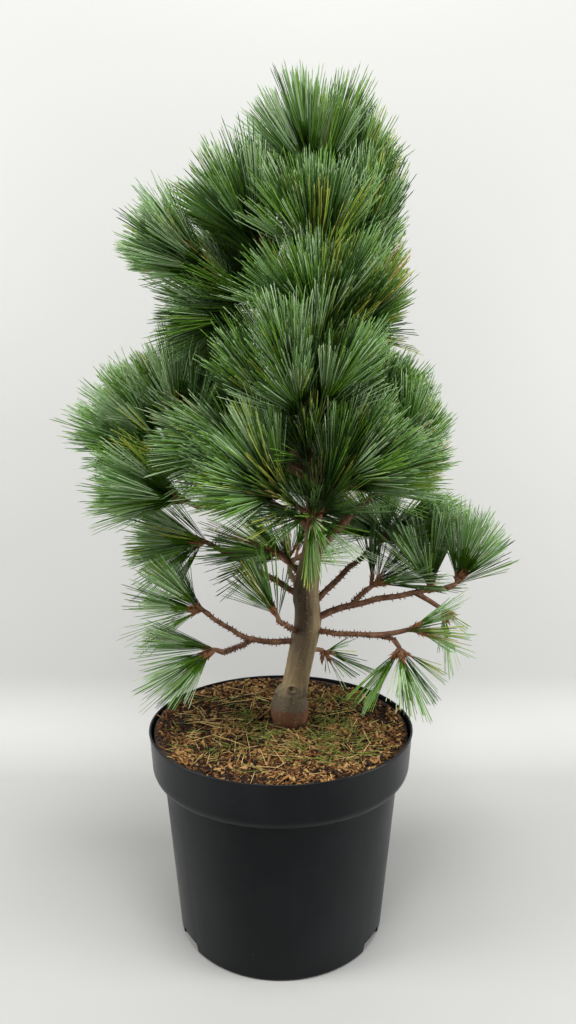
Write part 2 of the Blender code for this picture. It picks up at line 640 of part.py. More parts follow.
def spray_mesh(root, along, sideways, corners):
    """Return a bmesh of one spray: a blade cut into needles, thick at its root and thin at its tips."""
    bm = bmesh.new()
    lift = np.cross(sideways, along) * SPRAY_THICKNESS / 2
    length = max(y for _, y, _ in corners)
    upper, lower = [], []
    for x, y, is_tip in corners:
        middle = root + sideways * x + along * y
        if is_tip:
            tip = bm.verts.new(middle)
            upper.append(tip)
            lower.append(tip)
        else:
            upper.append(bm.verts.new(middle + lift * (1 - y / length)))
            lower.append(bm.verts.new(middle - lift * (1 - y / length)))
    bm.faces.new(upper)
    bm.faces.new(lower[::-1])
    for index in range(len(corners)):
        side = (upper[index - 1], lower[index - 1], lower[index], upper[index])
        bm.faces.new(dict.fromkeys(side))
    return bm


def needle_lines(root, along, sideways, corners):
    """Return the starts and ends of a spray's needles, beyond its root."""
    tips = np.array([root + sideways * x + along * y for x, y, is_tip in corners if is_tip])
    return root + (tips - root) * ROOT_SHARE, tips


def fitting_sprays(twig, number, quota, space, grown, draw):
    """Return up to `quota` sprays of a twig that fit mass `number`'s space and cross no other."""
    sprays = []
    phase = draw.uniform(0, 2 * math.pi)
    for index in range(SPRAY_TRIES):
        root, along, sideways, length = spray_rule(twig, MASSES[number].needle, index, phase, draw)
        corners = spray_outline(length, draw)
        for scale in SPRAY_SIZES:
            shaped = [(x * scale if y else x, y * scale, is_tip) for x, y, is_tip in corners]
            spray = (root, along, sideways, shaped)
            if not space.holds(spray_samples(*spray), number):
                continue
            lines = needle_lines(*spray)
            if all(line_gaps(*lines, *other).min() > NEEDLE_MARGIN for other in grown):
                sprays.append(spray)
                grown.append(lines)
            break
        if len(sprays) == quota:
            break
    return sprays


def join_pieces(item, pieces):
    """Join a collection of closed pieces to an object, so that one whole body comes of it.

    Where they don't join all at once, they are joined one by one, and any that won't is left out.
    """
    plain = item.data.copy()
    least_faces = JOINED_FACES * len(pieces.objects)
    for solver in ("EXACT", "MANIFOLD"):
        item.data = plain.copy()
        apply_boolean(item, "UNION", solver, operands=pieces)
        if keep_largest_body(item) and len(item.data.polygons) > least_faces:
            return
    item.data = plain.copy()
    for piece in pieces.objects:
        body = item.data.copy()
        apply_boolean(item, "UNION", "EXACT", operand=piece)
        if not keep_largest_body(item) or len(item.data.polygons) < len(body.polygons) + ADDED_FACES:
            item.data = body


def build_mass(mass, number, wood, lines, space, material):
    """Join a mass's stem, twigs and sprays into one solid by a union on a collection."""
    stem, twigs = wood
    draw = np.random.default_rng(FIRST_SEED + len(MASSES) + number)
    stem_line = np.array([(*stem[0], STEM_RADIUS), (*stem[1], TWIG_RADIUS),
                          (*twigs[0][1], TWIG_TIP_RADIUS)])
    carrier = "trunk" if mass.carrier == "trunk_tip" else mass.carrier
    facing = None if starts_inside(mass) else tip_direction(lines[carrier])
    item = add_object(mass.name, swept(stem_line, TWIG_SIDES, first_ahead=facing), material)
    if starts_inside(mass):
        sides = TRUNK_SIDES if carrier == "trunk" else BOUGH_SIDES
        cutter = add_object("carrier_cutter", swept(lines[carrier], sides, GAP))
        apply_boolean(item, "DIFFERENCE", "EXACT", operand=cutter)
        bpy.data.objects.remove(cutter, do_unlink=True)
        keep_largest_body(item)
    pieces = bpy.data.collections.new(mass.name + "_pieces")
    bpy.context.scene.collection.children.link(pieces)


    def add_piece(bm):
        """Put one solid of the mass in the collection that is joined to its stem."""
        piece = add_object("piece", bm)
        bpy.context.scene.collection.objects.unlink(piece)
        pieces.objects.link(piece)

    grown = []
    for index, (start, end) in enumerate(twigs):
        quota = SIDE_SPRAYS if index else LEADING_SPRAYS
        sprays = fitting_sprays((start, end), number, quota, space, grown, draw)
        if index and sprays:
            add_piece(swept(np.array([(*start, TWIG_RADIUS), (*end, TWIG_TIP_RADIUS)]), TWIG_SIDES))
        for spray in sprays:
            add_piece(spray_mesh(*spray))
    join_pieces(item, pieces)
    for piece in list(pieces.objects):
        bpy.data.objects.remove(piece, do_unlink=True)
    bpy.data.collections.remove(pieces)
    return item


def main():
    """Build the pot, the growing medium, the limbs and the foliage masses."""
    clear_scene()
    build_pot(make_material(*POT_FINISH))
    build_soil(make_material(*SOIL_FINISH))
    needles = make_material(*NEEDLE_FINISH)
    lines = limb_lines()
    build_limbs(lines, make_material(*TRUNK_FINISH), make_material(*BOUGH_FINISH))
    woods = [mass_twigs(mass, FIRST_SEED + number, lines) for number, mass in enumerate(MASSES)]
    space = Space(lines, woods)
    for number, (mass, wood) in enumerate(zip(MASSES, woods)):
        build_mass(mass, number, wood, lines, space, needles)


main()
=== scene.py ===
"""The looks of a young eastern white pine growing in a round nursery pot.

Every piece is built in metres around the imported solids: the pot and its growing medium, the bark of
the trunk and boughs, and the foliage, which grows on from the limbs by the same seeded rule as the
solids do, with finer twigs and single needles. +Z is up and -Y is the front.
"""

import logging
import math
from dataclasses import dataclass, field
from enum import Enum
from typing import Any, NamedTuple, Sequence, Union

import bmesh
import bpy
import numpy as np
from mathutils import Matrix, Vector, noise


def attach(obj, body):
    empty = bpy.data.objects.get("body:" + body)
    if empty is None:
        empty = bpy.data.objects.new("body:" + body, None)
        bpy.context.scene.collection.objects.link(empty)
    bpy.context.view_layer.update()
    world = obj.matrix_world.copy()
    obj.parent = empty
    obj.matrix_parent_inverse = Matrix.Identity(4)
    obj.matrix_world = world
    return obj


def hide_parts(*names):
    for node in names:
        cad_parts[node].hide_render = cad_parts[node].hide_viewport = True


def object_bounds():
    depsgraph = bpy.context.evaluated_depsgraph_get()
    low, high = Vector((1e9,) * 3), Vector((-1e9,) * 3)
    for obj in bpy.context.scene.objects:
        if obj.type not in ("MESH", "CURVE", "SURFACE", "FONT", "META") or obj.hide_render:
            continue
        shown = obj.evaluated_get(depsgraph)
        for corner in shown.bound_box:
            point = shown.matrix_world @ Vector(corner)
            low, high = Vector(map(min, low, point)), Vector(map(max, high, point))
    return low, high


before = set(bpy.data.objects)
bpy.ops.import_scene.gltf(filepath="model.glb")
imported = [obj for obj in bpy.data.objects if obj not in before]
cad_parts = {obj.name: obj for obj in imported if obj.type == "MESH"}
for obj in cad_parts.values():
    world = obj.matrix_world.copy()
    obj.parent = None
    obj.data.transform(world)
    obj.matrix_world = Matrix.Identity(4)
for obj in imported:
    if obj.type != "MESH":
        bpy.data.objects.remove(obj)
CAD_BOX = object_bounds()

LOG = logging.getLogger("potted_pine")
BODY = "root"
UP = np.array((0.0, 0.0, 1.0))
GAP = 0.0003
GOLDEN_TURN = math.pi * (3 - math.sqrt(5))
GOLDEN_STEP = (math.sqrt(5) - 1) / 2

Colour = tuple[float, float, float]
Number = Union[int, float]


# Shader helpers


class Signal:
    """One socket of a material's node tree, with operators that add Math nodes."""

    def __init__(self, bench: "Bench", socket: bpy.types.NodeSocket) -> None:
        """Keep the bench that adds nodes and the socket that carries the value."""
        self.bench = bench
        self.socket = socket

    def _math(self, operation: str, first: Any, second: Any) -> "Signal":
        """Return the result of one Math node."""
        node = self.bench.node("ShaderNodeMath", {"operation": operation}, {0: first, 1: second})
        return Signal(self.bench, node.outputs[0])

    def __add__(self, other: "Signal | Number") -> "Signal":
        """Return the sum."""
        return self._math("ADD", self, other)

    __radd__ = __add__

    def __sub__(self, other: "Signal | Number") -> "Signal":
        """Return the difference."""
        return self._math("SUBTRACT", self, other)

    def __rsub__(self, other: Number) -> "Signal":
        """Return a number less this signal."""
        return self._math("SUBTRACT", other, self)

    def __mul__(self, other: "Signal | Number") -> "Signal":
        """Return the product."""
        return self._math("MULTIPLY", self, other)

    __rmul__ = __mul__

    def __pow__(self, other: Number) -> "Signal":
        """Return this signal raised to a power."""
        return self._math("POWER", self, other)


class Bench:
    """A new material and the means to add nodes to it."""

    def __init__(self, name: str) -> None:
        """Make the material and keep its Principled shader."""
        self.material = bpy.data.materials.new(name)
        self.material.use_nodes = True
        self.tree = self.material.node_tree
        self.shader = self.tree.nodes["Principled BSDF"]

    def node(self, kind: str, settings: dict[str, Any] | None = None,
             inputs: dict[Any, Any] | None = None) -> bpy.types.Node:
        """Add a node, set it up and then fill or link its sockets.

        Args:
            kind: the node's type.
            settings: the node's own properties, set first. `stops` fills a colour ramp.
            inputs: values, signals or sockets by socket name or number.

        Returns:
            The new node.
        """
        node = self.tree.nodes.new(kind)
        for key, value in (settings or {}).items():
            if key == "stops":
                elements = node.color_ramp.elements
                while len(elements) < len(value):
                    elements.new(0.5)
                for element, (place, colour) in zip(elements, value):
                    element.position = place
                    element.color = (*colour, 1.0)
            else:
                setattr(node, key, value)
        for key, value in (inputs or {}).items():
            self.feed(node.inputs[key], value)
        return node

    def feed(self, socket: bpy.types.NodeSocket, value: Any) -> None:
        """Link a signal or a socket to a socket, or set its own value."""
        if isinstance(value, Signal):
            value = value.socket
        if isinstance(value, bpy.types.NodeSocket):
            self.tree.links.new(value, socket)
        elif socket.type == "RGBA":
            socket.default_value = (*value, 1.0)
        else:
            socket.default_value = value

    def place(self, scale: Sequence[float] = (1.0, 1.0, 1.0)) -> bpy.types.NodeSocket:
        """Return the piece's own coordinates in metres, stretched by a scale."""
        coordinates = self.node("ShaderNodeTexCoord").outputs["Object"]
        return self.node("ShaderNodeMapping", None, {"Vector": coordinates, "Scale": scale}).outputs[0]

    def noise(self, scale: float, detail: float = 4.0, rough: float = 0.5,
              stretch: Sequence[float] = (1.0, 1.0, 1.0)) -> Signal:
        """Return a noise value from 0 to 1 over the piece's own coordinates."""
        node = self.node("ShaderNodeTexNoise", None,
                         {"Vector": self.place(stretch), "Scale": scale, "Detail": detail, "Roughness": rough})
        return Signal(self, node.outputs["Fac"])

    def ramp(self, value: Signal, stops: Sequence[tuple[float, Colour]]) -> bpy.types.NodeSocket:
        """Return the colour that a value has on a ramp."""
        return self.node("ShaderNodeValToRGB", {"stops": stops}, {"Fac": value}).outputs["Color"]

    def level(self, value: Signal, low: float, high: float) -> Signal:
        """Return a value spread so that `low` becomes 0 and `high` becomes 1, held between the two."""
        node = self.node("ShaderNodeMapRange", {"clamp": True},
                         {"Value": value, "From Min": low, "From Max": high, "To Min": 0.0, "To Max": 1.0})
        return Signal(self, node.outputs[0])

    def blend(self, factor: Signal, first: Any, second: Any) -> bpy.types.NodeSocket:
        """Return two colours mixed by a factor."""
        node = self.node("ShaderNodeMix", {"data_type": "RGBA"}, {"Factor": factor})
        colours = [socket for socket in node.inputs if socket.type == "RGBA"]
        self.feed(colours[0], first)
        self.feed(colours[1], second)
        return next(socket for socket in node.outputs if socket.type == "RGBA")

    def reach(self, middle: Sequence[float], scale: Sequence[float]) -> Signal:
        """Return how far the piece's own coordinates, stretched by a scale, lie from a point."""
        there = [value * factor for value, factor in zip(middle, scale)]
        node = self.node("ShaderNodeVectorMath", {"operation": "DISTANCE"}, {0: self.place(scale), 1: there})
        return Signal(self, node.outputs["Value"])

    def bump(self, height: Signal, strength: float, depth: float) -> None:
        """Let a height in metres tilt the shading of the surface."""
        node = self.node("ShaderNodeBump", None,
                         {"Height": height, "Strength": strength, "Distance": depth})
        self.feed(self.shader.inputs["Normal"], node.outputs["Normal"])

    def finish(self, **sockets: Any) -> bpy.types.Material:
        """Feed the shader's sockets, named with underscores for spaces, and return the material."""
        for name, value in sockets.items():
            self.feed(self.shader.inputs[name.replace("_", " ").title()], value)
        return self.material


# Finishes


@dataclass(frozen=True)
class MouldedPlastic:
    """Satin near-black plastic with dust, faint scuffs and a few pale specks."""

    colour: Colour = (0.0028, 0.0038, 0.0046)
    dusty: Colour = (0.0100, 0.0120, 0.0134)
    speck: Colour = (0.13, 0.13, 0.12)
    roughness: float = 0.34
    gloss: float = 0.14
    speck_scale: float = 260.0
    speck_edge: float = 0.80

    def material(self) -> bpy.types.Material:
        """Return the plastic as a material."""
        bench = Bench("pot_plastic")
        dust = bench.level(bench.noise(9.0, 5.0, 0.6), 0.42, 0.75)
        streaks = bench.noise(60.0, 3.0, 0.6, (1.0, 1.0, 0.12))
        specks = bench.level(bench.noise(self.speck_scale, 2.0, 0.5), self.speck_edge, self.speck_edge + 0.03)
        body = bench.blend(dust * streaks, self.colour, self.dusty)
        colour = bench.blend(specks, body, self.speck)
        bench.bump(bench.noise(700.0, 2.0, 0.5) + 2.0 * streaks, 0.10, 0.0004)
        bench.shader.inputs["Specular IOR Level"].default_value = self.gloss
        return bench.finish(base_color=colour, roughness=self.roughness - 0.05 + 0.16 * dust)


@dataclass(frozen=True)
class PottingEarth:
    """Dark moist earth between the chips."""

    dark: Colour = (0.008, 0.0045, 0.002)
    light: Colour = (0.060, 0.033, 0.014)
    roughness: float = 0.95

    def material(self) -> bpy.types.Material:
        """Return the earth as a material."""
        bench = Bench("growing_medium")
        grain = bench.noise(240.0, 6.0, 0.65)
        colour = bench.ramp(grain, [(0.35, self.dark), (0.68, self.light)])
        bench.bump(grain + bench.noise(700.0, 3.0, 0.6), 0.6, 0.0012)
        return bench.finish(base_color=colour, roughness=self.roughness)


@dataclass(frozen=True)
class TrunkBark:
    """Smooth young bark: a reddish foot, a grey band, pale wood, olive wood, a painted shadow and specks."""

    foot: Colour = (0.105, 0.038, 0.011)
    band: Colour = (0.082, 0.062, 0.034)
    pale: Colour = (0.215, 0.158, 0.078)
    olive: Colour = (0.125, 0.078, 0.023)
    top: Colour = (0.140, 0.068, 0.024)
    # Dark bark colour of the mottling and the knot, also used for the painted shadow on the trunk's front.
    dark_and_painted_shade: Colour = (0.036, 0.019, 0.006)
    bright: Colour = (0.430, 0.335, 0.180)
    speck: Colour = (0.46, 0.38, 0.24)
    foot_height: float = 0.214
    top_height: float = 0.464
    # Middle of the painted shadow: the crown's shadow painted onto the trunk's front.
    painted_shadow_place: tuple[float, float, float] = (0.018, -0.006, 0.338)
    knot_place: tuple[float, float, float] = (0.0117, -0.0045, 0.2590)
    roughness: float = 0.74

    def zones(self) -> list[tuple[float, Colour]]:
        """Return the colours up the trunk, by the share of the height that they cover."""
        heights = (0.214, 0.2345, 0.2375, 0.252, 0.264, 0.312, 0.344, 0.405, 0.450)
        colours = (self.foot, self.foot, self.band, self.band, self.pale, self.pale, self.olive, self.olive,
                   self.top)
        span = self.top_height - self.foot_height
        return [((height - self.foot_height) / span, colour) for height, colour in zip(heights, colours)]

    def material(self) -> bpy.types.Material:
        """Return the bark as a material."""
        bench = Bench("trunk_bark")
        upright = bench.node("ShaderNodeSeparateXYZ", None, {"Vector": bench.place()}).outputs["Z"]
        wander = bench.noise(38.0, 4.0, 0.6)
        height = Signal(bench, upright) + 0.012 * (wander - 0.5)
        above = bench.level(height, 0.240, 0.262)
        colour = bench.ramp(bench.level(height, self.foot_height, self.top_height), self.zones())
        mottle = bench.level(bench.noise(60.0, 5.0, 0.65, (1.0, 1.0, 0.4)), 0.36, 0.66)
        streaks = above * bench.level(bench.noise(150.0, 4.0, 0.6, (1.0, 1.0, 0.10)), 0.40, 0.70)
        # Painted shadow: a dark patch on the trunk's front that stands in for the crown's shade there.
        painted_shadow = 1.0 - bench.level(bench.reach(self.painted_shadow_place, (1.0, 1.0, 0.36)) + 0.016 * (wander - 0.5),
                                    0.011, 0.028)
        eye = bench.reach(self.knot_place, (0.8, 1.0, 1.2))
        knot = 1.0 - bench.level(eye, 0.0014, 0.0034)
        ring = bench.level(eye, 0.0030, 0.0042) * (1.0 - bench.level(eye, 0.0046, 0.0060))
        cork = bench.level(bench.noise(420.0, 2.0, 0.5, (1.0, 1.0, 2.2)), 0.66, 0.74)
        colour = bench.blend(mottle * (0.20 + 0.35 * above), colour, self.dark_and_painted_shade)
        colour = bench.blend(0.42 * streaks, colour, self.bright)
        colour = bench.blend(0.85 * painted_shadow, colour, self.dark_and_painted_shade)
        colour = bench.blend(0.95 * knot + 0.55 * ring, colour, self.dark_and_painted_shade)
        colour = bench.blend(0.7 * cork, colour, self.speck)
        fissure = bench.noise(130.0, 5.0, 0.65, (1.0, 1.0, 0.22))
        wrinkles = bench.noise(260.0, 3.0, 0.6, (0.25, 0.25, 1.0))
        bench.bump(fissure + 0.5 * wrinkles + 0.4 * cork + 0.8 * ring, 0.8, 0.0012)
        return bench.finish(base_color=colour, roughness=self.roughness)


@dataclass(frozen=True)
class BoughBark:
    """Rough red-brown bark of boughs and twigs, with a paler bloom and corky specks."""

    ground: Colour = (0.082, 0.030, 0.012)
    bloom: Colour = (0.215, 0.108, 0.055)
    speck: Colour = (0.34, 0.20, 0.10)
    roughness: float = 0.80

    def material(self) -> bpy.types.Material:
        """Return the bark as a material."""
        bench = Bench("bough_bark")
        bloom = bench.level(bench.noise(90.0, 5.0, 0.62), 0.38, 0.66)
        cork = bench.level(bench.noise(420.0, 2.0, 0.5), 0.64, 0.72)
        colour = bench.blend(bloom, self.ground, self.bloom)
        colour = bench.blend(0.7 * cork, colour, self.speck)
        bench.bump(bench.noise(300.0, 5.0, 0.65) + 0.4 * cork, 0.7, 0.0010)
        return bench.finish(base_color=colour, roughness=self.roughness)


@dataclass(frozen=True)
class Plain:
    """One plain colour, dealt out to whole sprays, chips or scales."""

    name: str
    colour: Colour
    roughness: float = 0.5
    gloss: float = 0.22

    def material(self) -> bpy.types.Material:
        """Return the colour as a material."""
        bench = Bench(self.name)
        bench.shader.inputs["Specular IOR Level"].default_value = self.gloss
        return bench.finish(base_color=self.colour, roughness=self.roughness)


class Tint(Enum):
    """The colours of a bundle of needles: inner part, outer part and roughness. The first and darkest tint is
    painted shade.
    """

    # Painted shade: dark needles that stand for needles lying in shade.
    PAINTED_SHADE = ((0.010, 0.038, 0.001), (0.024, 0.066, 0.008), 0.50)
    GREEN = ((0.050, 0.140, 0.002), (0.100, 0.215, 0.018), 0.46)
    BLUE = ((0.050, 0.135, 0.004), (0.155, 0.285, 0.098), 0.46)
    GREY = ((0.070, 0.165, 0.008), (0.290, 0.400, 0.220), 0.48)
    OLIVE = ((0.150, 0.195, 0.012), (0.290, 0.325, 0.050), 0.55)
    DRY = ((0.230, 0.150, 0.035), (0.350, 0.265, 0.075), 0.60)

    def materials(self) -> list[bpy.types.Material]:
        """Return the materials of a needle's inner and outer part."""
        inner, outer, roughness = self.value
        label = self.name.lower()
        # Each inner part is darker than its outer part: partly the needle's own colour, partly painted shade near
        # the twigs.
        return [Plain(f"needle_{label}_inner", inner, roughness, 0.18).material(),
                Plain(f"needle_{label}_outer", outer, roughness, 0.28).material()]


# Making and placing pieces


def unit(vector: np.ndarray) -> np.ndarray:
    """Return vectors at length one."""
    return vector / np.linalg.norm(vector, axis=-1, keepdims=True)


def direction(bearing: float, lift: float) -> np.ndarray:
    """Return the unit vector at a bearing and a lift, both in degrees."""
    turn, rise = math.radians(bearing), math.radians(lift)
    return np.array((math.cos(turn) * math.cos(rise), math.sin(turn) * math.cos(rise), math.sin(rise)))


def put(name: str, mesh: bpy.types.Mesh, materials: Sequence[bpy.types.Material]) -> bpy.types.Object:
    """Give a mesh its materials and link it to the scene as an object."""
    for material in materials:
        mesh.materials.append(material)
    item = bpy.data.objects.new(name, mesh)
    bpy.context.scene.collection.objects.link(item)
    return item


def settle(item: bpy.types.Object, slot: str, *nodes: str) -> bpy.types.Object:
    """Let a piece ride on the plant and stand for CAD nodes, and report it."""
    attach(item, BODY)
    if nodes:
        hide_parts(*nodes)
    LOG.info("%s: %d faces", item.name, len(item.data.polygons))
    return item


def mesh_of(name: str, bm: bmesh.types.BMesh, smooth: bool = True) -> bpy.types.Mesh:
    """Turn a bmesh into a mesh with its faces outwards, and free it."""
    bmesh.ops.recalc_face_normals(bm, faces=bm.faces)
    mesh = bpy.data.meshes.new(name)
    bm.to_mesh(mesh)
    bm.free()
    if smooth:
        mesh.shade_smooth()
    return mesh


def array_mesh(name: str, places: np.ndarray, corners: np.ndarray,
               slots: np.ndarray | None = None, smooth: bool = True) -> bpy.types.Mesh:
    """Return a mesh of many small shapes from arrays.

    Args:
        name: the mesh's name.
        places: the vertices, in rows of x, y and z.
        corners: the faces, in rows of as many vertex numbers as a face has corners.
        slots: each face's material slot, or None for the first.
        smooth: whether the faces are shaded smooth.

    Returns:
        The mesh.
    """
    mesh = bpy.data.meshes.new(name)
    mesh.vertices.add(len(places))
    mesh.vertices.foreach_set("co", places.astype(np.float32).ravel())
    mesh.loops.add(corners.size)
    mesh.loops.foreach_set("vertex_index", corners.astype(np.int32).ravel())
    mesh.polygons.add(len(corners))
    mesh.polygons.foreach_set("loop_start", np.arange(0, corners.size, corners.shape[1], dtype=np.int32))
    if slots is not None:
        mesh.polygons.foreach_set("material_index", slots.astype(np.int32))
    mesh.update(calc_edges=True)
    if smooth:
        mesh.shade_smooth()
    return mesh


# The growth rule that the solids follow


class Bough(NamedTuple):
    """A limb: its carrier, where it leaves that, its tip, how far it bows up, and two diameters."""

    name: str
    carrier: str
    foot: float
    tip: tuple[float, float, float]
    bow: float
    foot_dia: float
    tip_dia: float


class Mass(NamedTuple):
    """A foliage mass: its carrier and foot, its stem, its leading twig, the twigs round that, its needles."""

    name: str
    carrier: str
    foot: float
    bearing: float
    reach: float
    rise: float
    heading: float
    lift: float
    length: float
    sides: int
    splay: float
    needle: float


TRUNK_KNOTS = (
    (0.2140, 0.009, 0.010, 0.0300),
    (0.2220, 0.009, 0.010, 0.0375),
    (0.2340, 0.009, 0.010, 0.0400),
    (0.2480, 0.011, 0.010, 0.0345),
    (0.2560, 0.014, 0.010, 0.0290),
    (0.2700, 0.017, 0.010, 0.0270),
    (0.3000, 0.023, 0.010, 0.0275),
    (0.3180, 0.027, 0.010, 0.0275),
    (0.3420, 0.028, 0.010, 0.0268),
    (0.3650, 0.027, 0.010, 0.0265),
    (0.3850, 0.029, 0.010, 0.0245),
    (0.4080, 0.032, 0.009, 0.0190),
    (0.4400, 0.035, 0.008, 0.0165),
    (0.5310, 0.033, 0.007, 0.0140),
    (0.6330, 0.029, 0.006, 0.0110),
    (0.7000, 0.030, 0.005, 0.0080),
    (0.7460, 0.031, 0.005, 0.0066),
)
BOUGHS = (
    Bough("low_left_bough", "trunk", 0.315, (-0.075, 0.000, 0.340), -0.017, 0.0066, 0.0048),
    Bough("low_left_arm", "low_left_bough", 0.55, (-0.060, -0.002, 0.300), -0.001, 0.0050, 0.0044),
    Bough("low_left_twig", "trunk", 0.314, (-0.002, -0.014, 0.337), 0.000, 0.0046, 0.0042),
    Bough("mid_left_bough", "trunk", 0.352, (-0.074, 0.030, 0.409), 0.002, 0.0070, 0.0050),
    Bough("low_right_bough", "trunk", 0.330, (0.172, -0.002, 0.369), 0.006, 0.0076, 0.0050),
    Bough("low_right_arm", "low_right_bough", 0.30, (0.090, 0.008, 0.365), 0.000, 0.0050, 0.0044),
    Bough("front_right_bough", "trunk", 0.319, (0.115, -0.024, 0.322), 0.002, 0.0060, 0.0048),
    Bough("back_right_bough", "trunk", 0.341, (0.107, 0.050, 0.409), 0.002, 0.0070, 0.0050),
    Bough("high_right_bough", "trunk", 0.398, (0.109, -0.006, 0.478), 0.007, 0.0088, 0.0058),
    Bough("high_left_bough", "trunk", 0.432, (-0.092, -0.002, 0.493), 0.004, 0.0088, 0.0058),
    Bough("high_left_arm", "high_left_bough", 0.50, (-0.080, -0.030, 0.460), 0.002, 0.0060, 0.0050),
    Bough("shoulder_left_bough", "trunk", 0.490, (-0.071, 0.016, 0.529), 0.003, 0.0076, 0.0056),
    Bough("low_back_bough", "trunk", 0.339, (0.010, 0.092, 0.364), 0.004, 0.0076, 0.0054),
    Bough("mid_back_bough", "trunk", 0.420, (0.030, 0.096, 0.468), 0.004, 0.0080, 0.0058),
)
MASSES = (
    Mass("leader_mass", "trunk_tip", 0.746, 0, 0.004, 0.013, 180, 86, 0.032, 3, 34, 0.088),
    Mass("top_right_mass", "trunk", 0.696, 6, 0.029, 0.049, 7, 61, 0.016, 2, 24, 0.088),
    Mass("top_back_mass", "trunk", 0.676, 118, 0.030, 0.062, 153, 62, 0.024, 2, 28, 0.088),
    Mass("top_front_mass", "trunk", 0.655, -77, 0.026, 0.031, -97, 70, 0.019, 3, 30, 0.088),
    Mass("top_left_mass", "trunk", 0.650, -168, 0.048, 0.055, -167, 59, 0.018, 3, 26, 0.088),
    Mass("far_left_mass", "trunk", 0.632, -167, 0.082, 0.044, -177, 24, 0.041, 3, 20, 0.088),
    Mass("upper_left_mass", "trunk", 0.590, 179, 0.069, 0.054, 175, 10, 0.012, 3, 36, 0.086),
    Mass("upper_front_mass", "trunk", 0.590, -76, 0.035, 0.027, -115, 66, 0.024, 4, 34, 0.088),
    Mass("upper_right_mass", "trunk", 0.622, -18, 0.033, 0.040, 4, 66, 0.060, 3, 24, 0.088),
    Mass("pale_right_mass", "trunk", 0.566, -44, 0.047, 0.059, -10, 36, 0.012, 2, 30, 0.080),
    Mass("upper_back_left_mass", "trunk", 0.612, 140, 0.056, 0.048, 150, 52, 0.036, 2, 40, 0.088),
    Mass("upper_back_right_mass", "trunk", 0.590, 55, 0.043, 0.046, 32, 57, 0.045, 2, 36, 0.088),
    Mass("front_mass", "trunk", 0.468, -98, 0.052, 0.049, -99, 73, 0.059, 4, 36, 0.090),
    Mass("mid_left_mass", "high_left_bough", 0, -141, 0.010, 0.003, -177, 32, 0.055, 3, 27, 0.088),
    Mass("lower_left_mass", "high_left_arm", 0, -161, 0.012, 0.005, -174, 14, 0.016, 3, 30, 0.088),
    Mass("shoulder_left_mass", "shoulder_left_bough", 0, -158, 0.021, -0.014, -173, 59, 0.040, 3, 32, 0.088),
    Mass("shoulder_front_left_mass", "trunk", 0.480, -150, 0.074, 0.034, -164, 5, 0.012, 2, 34, 0.086),
    Mass("bottom_left_mass", "mid_left_bough", 0, -146, 0.007, 0.004, -169, -2, 0.014, 2, 36, 0.084),
    Mass("left_front_mass", "trunk", 0.442, -116, 0.065, 0.027, -158, 31, 0.023, 4, 34, 0.088),
    Mass("right_front_mass", "trunk", 0.428, -79, 0.051, 0.042, -12, 35, 0.043, 4, 34, 0.088),
    Mass("shoulder_right_mass", "trunk", 0.490, 8, 0.047, 0.016, 9, 60, 0.037, 3, 28, 0.088),
    Mass("high_right_mass", "high_right_bough", 0, -14, 0.008, 0.007, -12, 65, 0.023, 2, 28, 0.086),
    Mass("right_back_mass", "back_right_bough", 0, -37, 0.007, 0.002, 74, 79, 0.012, 4, 76, 0.084),
    Mass("mid_back_left_mass", "trunk", 0.500, 144, 0.072, 0.033, 152, 55, 0.040, 2, 38, 0.088),
    Mass("mid_back_mass", "mid_back_bough", 0, 92, 0.014, 0.010, 92, 36, 0.040, 2, 42, 0.088),
    Mass("mid_back_right_mass", "trunk", 0.530, 61, 0.054, 0.035, 48, 52, 0.033, 2, 38, 0.088),
    Mass("back_left_mass", "trunk", 0.372, 153, 0.031, 0.030, 178, -4, 0.012, 1, 40, 0.072),
    Mass("back_right_mass", "trunk", 0.402, 71, 0.041, 0.047, 101, 60, 0.013, 3, 46, 0.088),
    Mass("low_back_mass", "low_back_bough", 0, 95, 0.012, 0.006, 95, 20, 0.030, 2, 46, 0.080),
    Mass("low_right_mass", "low_right_bough", 0.88, 59, 0.010, -0.001, 174, 77, 0.012, 2, 34, 0.084),
    Mass("low_right_tip_mass", "low_right_bough", 0, -10, 0.011, 0.006, 0, 69, 0.012, 2, 34, 0.084),
    Mass("low_right_inner_mass", "low_right_arm", 0, 21, 0.006, 0.003, 18, 39, 0.012, 2, 46, 0.066),
    Mass("front_right_mass", "front_right_bough", 0, -15, 0.007, -0.009, -72, -74, 0.012, 2, 44, 0.068),
    Mass("low_left_mass", "low_left_bough", 0, -170, 0.006, 0.005, -177, 15, 0.012, 3, 42, 0.080),
    Mass("low_left_arm_mass", "low_left_arm", 0, -160, 0.009, 0.004, -172, -24, 0.012, 2, 30, 0.076),
    Mass("low_left_inner_mass", "low_left_twig", 0, -128, 0.001, 0.005, -171, 65, 0.012, 1, 24, 0.068),
    Mass("droop_mass", "trunk", 0.418, -93, 0.051, 0.035, -90, 0, 0.012, 4, 76, 0.070),
    Mass("low_right_under_mass", "low_right_bough", 0.78, -21, 0.029, -0.015, -18, -62, 0.012, 1, 44, 0.068),
    Mass("front_right_side_mass", "front_right_bough", 0.70, -31, 0.046, 0.013, -11, -3, 0.012, 1, 40, 0.062),
    Mass("low_back_right_mass", "trunk", 0.300, 47, 0.033, -0.010, 40, -46, 0.012, 1, 44, 0.066),
)
CROWN_REACH = (
    (0.245, -0.150, 0.172),
    (0.300, -0.166, 0.186),
    (0.370, -0.162, 0.212),
    (0.405, -0.166, 0.240),
    (0.430, -0.176, 0.236),
    (0.455, -0.198, 0.222),
    (0.485, -0.202, 0.174),
    (0.535, -0.206, 0.172),
    (0.555, -0.216, 0.168),
    (0.594, -0.184, 0.154),
    (0.632, -0.140, 0.120),
    (0.670, -0.130, 0.125),
    (0.709, -0.164, 0.126),
    (0.765, -0.134, 0.125),
    (0.790, -0.106, 0.123),
    (0.834, -0.050, 0.110),
    (0.885, -0.030, 0.090),
)


